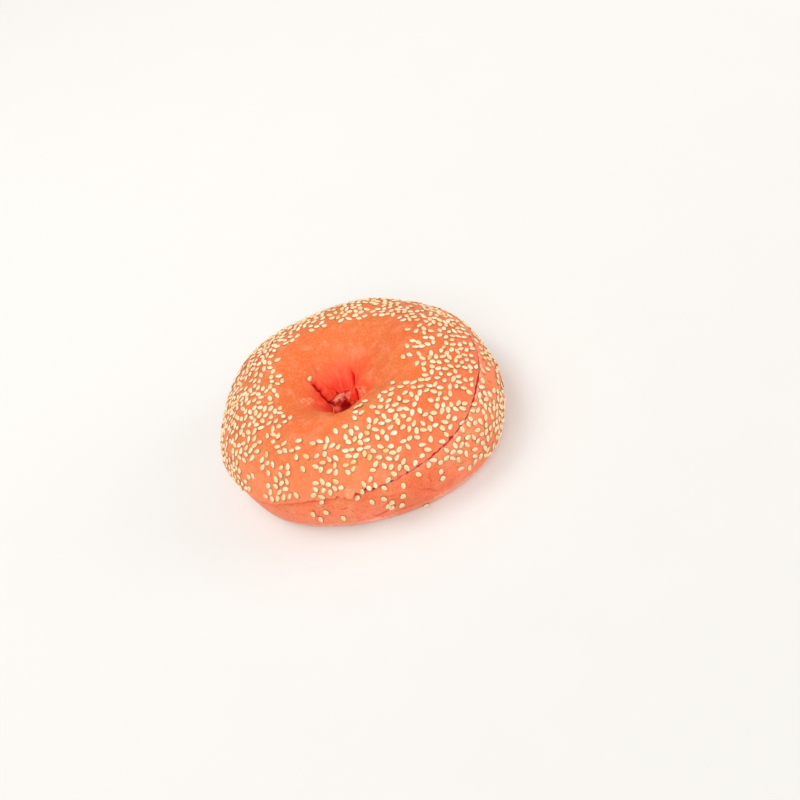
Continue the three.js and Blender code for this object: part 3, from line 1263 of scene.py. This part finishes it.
class Shader(NodeBuilder):
    """A material under construction: its main shader, and the place that its patterns lie at."""

    def __init__(self, name: str) -> None:
        """Start a material with one principled shader.

        Args:
            name: the material's name.
        """
        self.material = bpy.data.materials.new(name)
        self.material.use_nodes = True
        super().__init__(self.material.node_tree)
        self.surface = self.tree.nodes["Principled BSDF"]
        self.place = self.add("ShaderNodeTexCoord", out="Object")

    def paint(self, ground: Any, coats: list[tuple[Any, Any]]) -> bpy.types.NodeSocket:
        """Lay coats of colour over each other.

        Args:
            ground: the hex colour or the socket that lies under them.
            coats: for each coat, how much of it shows, and its hex colour or its socket.

        Returns:
            The socket that holds the painted colour.
        """
        for share, colour in coats:
            under, over = (linear(c) if isinstance(c, str) else c for c in (ground, colour))
            ground = self.add("ShaderNodeMix", {"Factor": share, "A": under, "B": over}, data_type="RGBA")
        return ground

    def relief(self, layers: list[tuple[Any, float]]) -> bpy.types.NodeSocket:
        """Lay relief that is too fine for the mesh, each layer over the one before.

        Args:
            layers: for each layer, its pattern and the height in millimetres that 1 stands for.

        Returns:
            The socket that holds the bent normal.
        """
        below: dict[str, bpy.types.NodeSocket] = {}
        for pattern, height in layers:
            below["Normal"] = self.add("ShaderNodeBump", {"Height": pattern, "Distance": height * MM} | below)
        return below["Normal"]

    def wire(self, inputs: dict[str, Any]) -> bpy.types.Material:
        """Feed the main shader, which completes the material.

        Args:
            inputs: for each input by name, a value or the output that feeds it.

        Returns:
            The finished material.
        """
        for name, value in inputs.items():
            feed(self.surface.inputs[name], value)
        return self.material


@dataclass(frozen=True)
class Grain:
    """A noise: the size of its features, how many finer layers it has, their strength and its warp."""

    length: float
    detail: float = 2.0
    roughness: float = 0.5
    warp: float = 0.0

    @property
    def inputs(self) -> dict[str, float]:
        """What a noise node takes to draw it."""
        return {"Scale": per_metre(self.length), "Detail": self.detail, "Roughness": self.roughness,
                "Distortion": self.warp}


@dataclass(frozen=True)
class Patches:
    """Soft patches cut from a grain: least of them where it is at start, and most at full."""

    grain: Grain
    start: float
    full: float
    most: float = 1.0
    least: float = 0.0

    def draw(self, shader: Shader, strength: float = 1.0) -> bpy.types.NodeSocket:
        """Draw the patches in a material.

        Args:
            shader: the material under construction.
            strength: how many times as strong they are.

        Returns:
            The socket that holds how much of them there is.
        """
        noise = shader.add("ShaderNodeTexNoise", {"Vector": shader.place} | self.grain.inputs)
        return shader.add("ShaderNodeMapRange", (noise, self.start, self.full, self.least,
                                                 self.most * strength), interpolation_type="SMOOTHSTEP")


@dataclass(frozen=True)
class BakedDough:
    """Baked beetroot dough: a thin smooth crust, dull with a faint soft sheen.

    Steam in the oven set the starch on its surface, so the eye gets an even coral skin with soft
    highlights and pale porous crumb where it was cut. It is redder into the hole, partly as
    unbrowned dough and partly as painted shade, and it has painted shade in its creases, under the
    overhang of the cut, along the cut's seam and between thick seeds. Light goes a few millimetres
    into it, which softens every shadow.
    """

    name: str
    crown: str
    flank: str
    heel: str
    crown_height: float
    heel_height: float
    lip: str = "#ff9478"
    blush: str = "#e05c2e"
    bloom: str = "#f29e72"
    # Painted shade between the seeds, laid where the seed cover is thick.
    seed_shade: str = "#c89c74"
    # The hole's red: partly unbrowned dough, partly painted shade of its depth.
    hollow: str = "#ea3c27"
    # fold and crease are colours of painted shade, in creases, under the overhang, along the cut's seam and
    # in dark spots.
    fold: str = "#ee2818"
    crease: str = "#b81004"
    crumb: str = "#ffc0aa"
    crumb_deep: str = "#fa8870"
    edge: str = "#ffbca6"
    flank_height: float = 24.0
    edge_height: float = 6.2
    edge_fade: float = 0.9
    edge_waver: float = 1.2
    edge_share: float = 0.8
    gathered: Ramp = (0.3, 0.7, 0.65, 0.95)
    folded: Ramp = (0.3, 0.7)
    deep_in_crumb: Ramp = (0.5, 0.8, 0.0, 0.9)
    creased: Ramp = (0.6, 0.88)
    lip_share: float = 0.45
    seed_shade_share: float = 0.16
    mottle: float = 1.0
    blotches: Patches = Patches(Grain(16.0, 3.0), 0.42, 0.68, 0.28)
    pale: Patches = Patches(Grain(5.5, 4.0, 0.6), 0.47, 0.7, 0.4)
    specks: Patches = Patches(Grain(0.9, 3.0, 0.7), 0.48, 0.64, 0.34)
    pits: Patches = Patches(Grain(1.2, 3.0, 0.7, 1.0), 0.5, 0.34, 0.36)
    chapped: Patches = Patches(Grain(1.0, 2.0, 0.7), 0.42, 0.6)
    pores: Patches = Patches(Grain(2.4, 3.0, 0.7), 0.42, 0.56)
    dullness: Patches = Patches(Grain(4.0), 0.3, 0.7, 0.62, 0.5)
    edge_grain: Grain = Grain(7.0)
    wrinkles: Grain = Grain(1.6, 4.0, 0.6, 0.8)
    skin_grain: Grain = Grain(0.6, 2.0, 0.6)
    pleat_rise: float = 0.3
    wrinkle_rise: float = 0.2
    skin_rise: float = 0.08
    hole_centre: tuple[float, float] = RingForm.hole_centre
    streaks: float = 9.0
    streak_drift: float = 60.0
    streak_warp: float = 0.3
    gleam: float = 0.22
    depth_share: float = 0.25
    depth_tint: tuple[float, float, float] = (1.0, 0.28, 0.12)
    depth: float = 3.5

    def gathers(self, shader: Shader) -> bpy.types.NodeSocket:
        """Add fine streaks that run down into the hole, where the dough was gathered.

        Args:
            shader: the material under construction.

        Returns:
            The socket that holds the pattern.
        """
        centre = Vector((*self.hole_centre, 0.0)) * MM
        moved = shader.add("ShaderNodeVectorMath", (shader.place, centre), operation="SUBTRACT")
        flat = shader.add("ShaderNodeVectorMath", (moved, (1.0, 1.0, 0.0)), operation="MULTIPLY")
        ring = shader.add("ShaderNodeVectorMath", (flat,), operation="NORMALIZE")
        drift = shader.add("ShaderNodeVectorMath", {"Vector": moved, "Scale": per_metre(self.streak_drift)},
                           operation="SCALE")
        place = shader.add("ShaderNodeVectorMath", (ring, drift), operation="ADD")
        return shader.add("ShaderNodeTexNoise", {"Vector": place, "Scale": self.streaks, "Detail": 2.0,
                                                 "Distortion": self.streak_warp})

    def colour(self, shader: Shader) -> bpy.types.NodeSocket:
        """Paint the crust by its height, its patches and the marks on the mesh.

        Args:
            shader: the material under construction.

        Returns:
            The socket that holds the colour.
        """
        height = shader.add("ShaderNodeSeparateXYZ", (shader.place,), "Z")
        waver = shader.add("ShaderNodeTexNoise", {"Vector": shader.place} | self.edge_grain.inputs)
        waver = shader.add("ShaderNodeMath", (waver, self.edge_waver * MM), operation="MULTIPLY")
        ragged = shader.add("ShaderNodeMath", (height, waver), operation="ADD")
        marks = {mark: shader.add("ShaderNodeAttribute", out="Fac", attribute_name=mark.value)
                 for mark in (Mark.RIM, Mark.COVER, Mark.HOLLOW, Mark.BLISTER, Mark.FOLD, Mark.CRUMB)}
        # Each of these goes smoothly from its least to its most between two values.
        crown, heel, edge, gathered, fold, deep, crease = (
            shader.add("ShaderNodeMapRange", ramp, interpolation_type="SMOOTHSTEP") for ramp in (
                (height, self.flank_height * MM, self.crown_height * MM),
                (height, self.flank_height * MM, self.heel_height * MM),
                (ragged, (self.edge_height + self.edge_fade) * MM, self.edge_height * MM, 0.0,
                 self.edge_share),
                (self.gathers(shader), *self.gathered),
                (marks[Mark.FOLD], *self.folded),
                (marks[Mark.FOLD], *self.deep_in_crumb),
                (marks[Mark.FOLD], *self.creased),
            ))
        # Here toasted is the share of painted shade between thick seeds, and seam the painted shade on the
        # crumb just inside the cut.
        lip, toasted, hollow, blistered, seam = (
            shader.add("ShaderNodeMath", factors, operation="MULTIPLY") for factors in (
                (marks[Mark.RIM], self.lip_share),
                (marks[Mark.COVER], self.seed_shade_share),
                (marks[Mark.HOLLOW], gathered),
                (marks[Mark.BLISTER], self.chapped.draw(shader)),
                (deep, marks[Mark.CRUMB]),
            ))
        crumb = shader.paint(self.crumb, [(self.pores.draw(shader), self.crumb_deep)])
        return shader.paint(self.flank, [
            (crown, self.crown),
            (heel, self.heel),
            (edge, self.edge),
            (lip, self.lip),
            # Painted shade of the seeds between them, where they lie thick.
            (toasted, self.seed_shade),
            (self.blotches.draw(shader, self.mottle), self.blush),
            (self.pale.draw(shader, self.mottle), self.bloom),
            (self.specks.draw(shader), self.bloom),
            (self.pits.draw(shader, self.mottle), self.blush),
            # Redder into the hole: partly unbrowned dough, partly painted shade.
            (hollow, self.hollow),
            (blistered, self.bloom),
            # Painted shade in creases, under the overhang and in dark spots, in the fold's red.
            (fold, self.fold),
            (marks[Mark.CRUMB], crumb),
            # Painted shade on the crumb just inside the cut, so the cut shows as a dark line.
            (seam, self.fold),
            # Deeper painted shade in the cores of the creases.
            (crease, self.crease),
        ])

    def make(self) -> bpy.types.Material:
        """Build the material.

        Returns:
            The finished material.
        """
        shader = Shader(self.name)
        hollow = shader.add("ShaderNodeAttribute", out="Fac", attribute_name=Mark.HOLLOW.value)
        pleats = shader.add("ShaderNodeMath", (self.gathers(shader), hollow), operation="MULTIPLY")
        wrinkles, skin = (shader.add("ShaderNodeTexNoise", {"Vector": shader.place} | grain.inputs)
                          for grain in (self.wrinkles, self.skin_grain))
        return shader.wire({
            "Base Color": self.colour(shader),
            "Roughness": self.dullness.draw(shader),
            "Specular IOR Level": self.gleam,
            "Subsurface Weight": self.depth_share,
            "Subsurface Radius": self.depth_tint,
            "Subsurface Scale": self.depth * MM,
            "Normal": shader.relief([(pleats, self.pleat_rise), (wrinkles, self.wrinkle_rise * self.mottle),
                                     (skin, self.skin_rise)]),
        })


@dataclass(frozen=True)
class HulledSesame:
    """Hulled sesame, toasted in the oven: smooth, slightly oily seeds.

    The eye gets cream drops with a soft gleam, a few of them golden, each with a thin brown edge of
    painted contact shadow where it meets the crust. The places of point, middle, shadow edge and
    foot are measured on a ball one unit across.
    """

    name: str = "hulled_sesame"
    pale: str = "#fce6c4"
    cream: str = "#f7d5a8"
    golden: str = "#f2bc78"
    toasted: str = "#e09a50"
    # rim is the colour of a painted contact shadow at each seed's edge and foot.
    rim: str = "#ac7038"
    cream_tone: Ramp = (0.1, 0.6)
    golden_tone: Ramp = (0.93, 1.0, 0.0, 0.85)
    point: Ramp = (0.28, 0.5, 0.0, 0.55)
    middle: Ramp = (0.17, 0.06, 0.0, 0.45)
    shadow_edge: Ramp = (0.42, 0.48)
    foot: Ramp = (0.03, -0.1)
    clouds: Patches = Patches(Grain(1.2), 0.35, 0.7, 0.3)
    skin_grain: Grain = Grain(0.5)
    skin_rise: float = 0.02
    dullness: float = 0.46
    gleam: float = 0.5
    depth_share: float = 0.15
    depth_tint: tuple[float, float, float] = (1.0, 0.7, 0.4)
    depth: float = 0.8

    def make(self) -> bpy.types.Material:
        """Build the material.

        Returns:
            The finished material.
        """
        shader = Shader(self.name)
        tone = shader.add("ShaderNodeAttribute", out="Fac", attribute_name=Mark.TONE.value)
        plan = shader.add("ShaderNodeAttribute", out="Vector", attribute_name=Mark.PLAN.value)
        x, y, z = shader.add("ShaderNodeSeparateXYZ", (plan,)).node.outputs
        flat = shader.add("ShaderNodeCombineXYZ", {"X": x, "Z": z})
        reach = shader.add("ShaderNodeVectorMath", (flat,), operation="LENGTH")
        cream, golden, point, middle, shadow_edge, foot = (
            shader.add("ShaderNodeMapRange", ramp, interpolation_type="SMOOTHSTEP") for ramp in (
                (tone, *self.cream_tone), (tone, *self.golden_tone), (z, *self.point),
                (reach, *self.middle), (reach, *self.shadow_edge), (y, *self.foot)))
        # The painted contact shadow round each seed, at its edge and its foot.
        rim = shader.add("ShaderNodeMath", (shadow_edge, foot), operation="MAXIMUM")
        tint = shader.paint(self.pale, [
            (cream, self.cream), (golden, self.golden), (point, self.toasted), (middle, self.toasted),
            (self.clouds.draw(shader), self.golden), (rim, self.rim)])
        skin = shader.add("ShaderNodeTexNoise", {"Vector": shader.place} | self.skin_grain.inputs)
        return shader.wire({
            "Base Color": tint,
            "Roughness": self.dullness,
            "Specular IOR Level": self.gleam,
            "Subsurface Weight": self.depth_share,
            "Subsurface Radius": self.depth_tint,
            "Subsurface Scale": self.depth * MM,
            "Normal": shader.relief([(skin, self.skin_rise)]),
        })


@dataclass(frozen=True)
class PaperSweep:
    """Matte background paper on a lit table: an even warm white with pale shadows and no gleam.

    It glows a little more towards the back, where less of the lamps' light falls.
    """

    name: str = "paper_sweep"
    white: str = "#c8c7c5"
    fibre: str = "#c6c5c2"
    fibres: Grain = Grain(30.0)
    glow: str = "#fffbf4"
    glow_strength: float = 0.262
    glow_rise: float = 0.08
    glow_reach: float = 400.0
    dullness: float = 0.95
    gleam: float = 0.1

    def make(self) -> bpy.types.Material:
        """Build the material.

        Returns:
            The finished material.
        """
        shader = Shader(self.name)
        fibres = shader.add("ShaderNodeTexNoise", {"Vector": shader.place} | self.fibres.inputs)
        back = shader.add("ShaderNodeSeparateXYZ", (shader.place,), "Y")
        strength = shader.add("ShaderNodeMapRange", (
            back, -self.glow_reach * MM, self.glow_reach * MM, self.glow_strength - self.glow_rise,
            self.glow_strength + self.glow_rise), interpolation_type="SMOOTHSTEP")
        return shader.wire({
            "Base Color": shader.paint(self.white, [(fibres, self.fibre)]),
            "Roughness": self.dullness,
            "Specular IOR Level": self.gleam,
            "Emission Color": linear(self.glow),
            "Emission Strength": strength,
        })


@dataclass(frozen=True)
class Softbox:
    """A square studio light, aimed at the bagel."""

    name: str
    place: tuple[float, float, float]
    width: float
    watts: float

    def build(self, aim: Vector) -> None:
        """Hang the light and turn it to the point it lights.

        Args:
            aim: that point, in metres.
        """
        data = bpy.data.lights.new(self.name, "AREA")
        data.shape = "SQUARE"
        data.size = self.width * MM
        data.energy = self.watts
        light = bpy.data.objects.new(self.name, data)
        place = Vector(self.place) * MM
        light.location = place
        light.rotation_euler = (aim - place).to_track_quat("-Z", "Y").to_euler()
        bpy.context.scene.collection.objects.link(light)


@dataclass
class Studio:
    """The plain studio: a pale floor, soft light from all round and the camera.

    The camera looks along +Y from above, and is rolled, because the bagel was leaning when it
    was photographed.
    """

    floor_size: float = 6000.0
    sky: str = "#fffdfb"
    sky_strength: float = 0.5
    softboxes: tuple[Softbox, ...] = (
        Softbox("key_softbox", (-500.0, 150.0, 1400.0), 900.0, 10.5),
        Softbox("front_softbox", (-250.0, -1000.0, 1050.0), 900.0, 8.5),
        Softbox("side_softbox", (1150.0, -350.0, 500.0), 800.0, 5.0),
    )
    target: tuple[float, float, float] = (-2.75, -1.11, 20.0)
    distance: float = 750.0
    elevation: float = 40.18
    roll: float = 27.0
    target_pixel: tuple[float, float] = (348.65, 407.13)
    frame_pixels: float = 800.0
    pixels_per_mm: float = 2.5018
    film_width: float = 36.0
    nearest_seen: float = 10.0

    def build_floor(self, finish: bpy.types.Material) -> None:
        """Lay the floor that the bagel rests on.

        Args:
            finish: the floor's material.
        """
        half = self.floor_size / 2 * MM
        mesh = bpy.data.meshes.new("floor")
        mesh.from_pydata([(-half, -half, 0), (half, -half, 0), (half, half, 0), (-half, half, 0)], [],
                         [(0, 1, 2, 3)])
        mesh.materials.append(finish)
        floor = bpy.data.objects.new("floor", mesh)
        bpy.context.scene.collection.objects.link(floor)

    def build_light(self) -> None:
        """Fill the room with soft light and hang the softboxes."""
        world = bpy.data.worlds.new("studio")
        world.use_nodes = True
        background = world.node_tree.nodes["Background"]
        background.inputs["Color"].default_value = linear(self.sky)
        background.inputs["Strength"].default_value = self.sky_strength
        bpy.context.scene.world = world
        for softbox in self.softboxes:
            softbox.build(Vector(self.target) * MM)
        bpy.context.scene.view_settings.view_transform = "Standard"

    def build_camera(self) -> None:
        """Set up the camera at the photograph's angle, with the bagel at the photograph's place."""
        tilt, roll = math.radians(self.elevation), math.radians(self.roll)
        back = Vector((0, -math.cos(tilt), math.sin(tilt)))
        level_up = Vector((0, math.sin(tilt), math.cos(tilt)))
        level_right = Vector((1, 0, 0))
        right = level_right * math.cos(roll) - level_up * math.sin(roll)
        up = level_right * math.sin(roll) + level_up * math.cos(roll)
        focal_pixels = self.pixels_per_mm * self.distance
        middle = self.frame_pixels / 2
        seen = Vector((self.target_pixel[0] - middle, middle - self.target_pixel[1], -focal_pixels))
        aside = seen.normalized().rotation_difference(Vector((0, 0, -1)))
        axes = Matrix((right, up, back)).transposed() @ aside.to_matrix()
        data = bpy.data.cameras.new("camera")
        data.sensor_width = self.film_width
        data.lens = focal_pixels / self.frame_pixels * self.film_width
        data.clip_start = self.nearest_seen * MM
        camera = bpy.data.objects.new("camera", data)
        place = (Vector(self.target) + back * self.distance) * MM
        camera.matrix_world = Matrix.Translation(place) @ axes.to_4x4()
        bpy.context.scene.collection.objects.link(camera)
        bpy.context.scene.camera = camera


def top_half() -> BagelHalf:
    """Describe the top half, which has most of the seeds and a bare patch round the hole.

    Returns:
        The half, which is not built yet.
    """
    return BagelHalf(
        name="top_dough", node="bagel_top_half", slot=Slot.TOP_CRUST, side=Side.TOP, slide=(-0.5, -0.1),
        seed_cover=((0, 1.0), (30, 1.0), (60, 1.15), (90, 1.15), (120, 1.25), (150, 1.15), (180, 1.1),
                    (200, 1.0), (225, 0.65), (245, 0.95), (262, 1.1), (278, 0.9), (300, 0.95), (330, 1.0)),
        bare_patch=((0, 34), (30, 34), (57, 28), (70, 29.5), (85, 27.5), (125, 28), (133, 24), (140, 26),
                    (147, 20.7), (165, 21.5), (185, 25.5), (200, 24.5), (213, 26.5), (219, 33.5), (232, 36),
                    (245, 38.5), (256, 34), (265, 30.5), (273, 24.5), (285, 23.8), (300, 23), (307, 27),
                    (315, 34), (322, 36), (328, 31.5), (335, 29), (345, 30), (352, 34)),
        lip=((0, 0.8), (60, 0.0), (150, 0.0), (200, 0.5), (250, 0.35), (285, 0.1), (315, 0.3), (345, 0.6)),
        flush=((0, 0.2), (40, 0.06), (120, 0.0), (255, 0.0), (290, 0.26), (330, 0.32)),
        pale_rim=0.2,
        lip_pallor=0.8,
        tears=(Tear(288, 0.9, 0.5), Tear(291, 0.7, 0.4), Tear(297, 1.0, 0.8), Tear(303.5, 0.9, 0.6),
               Tear(318, 0.8, 0.2), Tear(322, 1.8, 0.3), Tear(325, 0.7, 0.2), Tear(355, 1.2, 1.1),
               Tear(276, 0.8, 0.8), Tear(272.5, 1.2, 0.45), Tear(268, 1.6, 0.7), Tear(264, 1.4, 0.6),
               Tear(261, 1.2, 0.6), Tear(281, 1.5, 0.15), Tear(284.5, 0.8, 0.3),
               Tear(340, 9.0, -0.25), Tear(10, 20.0, -0.2), Tear(308, 2.0, -0.25), Tear(313.5, 2.0, -0.2),
               Tear(258, 1.1, 1.5), Tear(255.6, 0.8, -0.2), Tear(253.2, 0.8, 1.0),
               Tear(250.6, 2.2, -0.8, 1.2), Tear(246.8, 0.8, -0.4, 0.6), Tear(244.8, 0.6, 0.5),
               Tear(243.4, 0.7, -0.3), Tear(240, 0.6, 0.3), Tear(236.5, 0.7, -0.3), Tear(231, 0.8, 0.2)),
        beds=(Spot(1.3, 252, 4.0, 0.2), Spot(1.35, 208, 4.4, 0.05), Spot(1.18, 207, 3.0, 0.1),
              Spot(1.30, 229.5, 4.0, 0.0), Spot(1.37, 221, 4.2, 1.4), Spot(1.24, 219.5, 3.0, 1.4),
              Spot(1.27, 238, 4.2, 1.4), Spot(1.40, 240, 2.0, 0.1), Spot(1.25, 266, 3.2, 0.2),
              Spot(1.6, 251, 3.0, 0.6), Spot(1.2, 200, 4.0, 1.2), Spot(1.36, 322, 8.0, 1.5),
              Spot(1.36, 306, 7.0, 1.4), Spot(1.2, 250.5, 3.2, 0.0), Spot(1.22, 256.5, 2.0, 1.4),
              Spot(1.68, 334, 6.5, 1.45)),
        strays=(Stray(2.485, 131.5, 10, 20, -10), Stray(2.08, 273, 25), Stray(2.08, 277, 55),
                Stray(1.165, 214.8, -55)),
        blisters=(Spot(2.47, 183, 2.6), Spot(2.55, 176, 2.0), Spot(2.63, 322, 2.4, 0.9),
                  Spot(2.66, 332, 1.8, 0.8), Spot(2.31, 300, 1.8), Spot(1.2, 250.6, 2.4, 1.0)),
        shade_spots=(Spot(2.79, 99, 1.0, 1.0, 0.4), Spot(2.79, 33, 1.0, 1.0, 0.4), Spot(1.40, 356, 1.0, 0.9, 0.4)),
        inner_tears=(Tear(100, 0.7, 0.6), Tear(31, 0.6, 0.6), Tear(154, 0.9, 0.5), Tear(122, 0.5, 0.4),
                     Tear(136, 0.6, 0.5), Tear(60, 1.5, 0.15)),
    )


def bottom_half() -> BagelHalf:
    """Describe the bottom half, which has seeds on one flank and nearly none on the other.

    Returns:
        The half, which is not built yet.
    """
    return BagelHalf(
        name="bottom_dough", node="bagel_bottom_half", slot=Slot.BOTTOM_CRUST, side=Side.BOTTOM,
        slide=(0.5, 0.1),
        seed_cover=((0, 1.2), (30, 0.9), (90, 0.65), (150, 0.5), (190, 0.2), (205, 0.0), (283, 0.0),
                    (288, 0.7), (300, 1.1), (318, 1.2), (332, 0.9)),
        seed_floor=((0, 6.0), (60, 9.0), (180, 9.0), (260, 11.0), (283, 17.5), (288, 15.5), (294, 11.0),
                    (301, 8.0), (310, 4.0)),
        beds=(Spot(1.24, 328, 3.4, 0.1), Spot(1.27, 310, 2.2, 0.3), Spot(1.32, 316, 2.2, 0.3),
              Spot(0.95, 311, 2.6, 0.3)),
        lip=((0, 0.2), (60, 0.0), (180, 0.0), (200, -0.85), (250, -0.8), (272, 0.05), (290, 0.2), (340, 0.2)),
        lip_pallor=5.0,
        tears=(Tear(258.5, 1.5, 0.5), Tear(297, 2.5, 0.2), Tear(230, 12.0, 0.2)),
        strays=(Stray(1.11, 236, 35, 20), Stray(0.92, 230, 110, 38), Stray(0.94, 236, 150, 38),
                Stray(0.81, 232, 125, 38), Stray(0.79, 242, 115, 38), Stray(1.11, 252, 40, 20),
                Stray(1.01, 257, 110, 25), Stray(1.15, 264, 130, 15), Stray(1.10, 271, 85, 25),
                Stray(1.01, 262, 145, 20), Stray(0.96, 269, 15, 25), Stray(0.87, 262, 25, 28),
                Stray(0.92, 264, 20, 28), Stray(0.82, 263, 30, 28), Stray(0.80, 267, 25, 28),
                Stray(0.94, 285, 30, 20), Stray(0.41, 276, 160, 20), Stray(1.15, 278, 133, 15),
                Stray(1.19, 283, 48, 15)),
        blisters=(Spot(2.85, 350, 2.0, 0.6),),
        flakes=(Spot(2.83, 50, 2.4, 2.2), Spot(2.86, 74, 1.7, 1.7), Spot(2.84, 91, 1.2, 1.1),
                Spot(2.85, 107, 1.8, 1.8), Spot(2.82, 132, 1.8, 1.7), Spot(2.9, 168, 1.9, 1.9)),
        shade_spots=(Spot(3.02, 115, 3.6, 0.6, 0.3), Spot(3.0, 145, 2.6, 0.6, 0.3),
                Spot(2.97, 98, 2.8, 0.85, 0.5), Spot(1.37, 356, 1.0, 0.9, 0.4)),
        inner_tears=(Tear(95, 1.0, 0.3), Tear(72, 1.2, 0.2), Tear(36, 0.8, 0.4)),
    )


def main() -> None:
    """Build the bagel and the studio, and report each piece."""
    logging.basicConfig(level=logging.INFO, format="%(name)s: %(message)s")
    relief = DoughRelief()
    crown = BakedDough(name="baked_dough_top", crown="#e27034", flank="#fa8656", heel="#fa8656",
                       crown_height=38.0, heel_height=15.0)
    underside = BakedDough(name="baked_dough_base", crown="#ff8552", flank="#ff8552", heel="#ff8c6c",
                           crown_height=30.0, heel_height=3.0, mottle=1.8)
    top, bottom = top_half(), bottom_half()
    halves = [top.build(relief, crown.make()), bottom.build(relief, underside.make())]
    strays = top.stray_seeds() + bottom.stray_seeds()
    seeds = SesameScatter().build(halves, strays, HulledSesame().make())
    for piece in (*halves, seeds):
        log.info("%s has %d faces", piece.name, len(piece.data.polygons))
    studio = Studio()
    studio.build_floor(PaperSweep().make())
    studio.build_light()
    studio.build_camera()
    log.info("the studio is up, with %d lights", len(studio.softboxes))


if __name__ == "__main__":
    main()
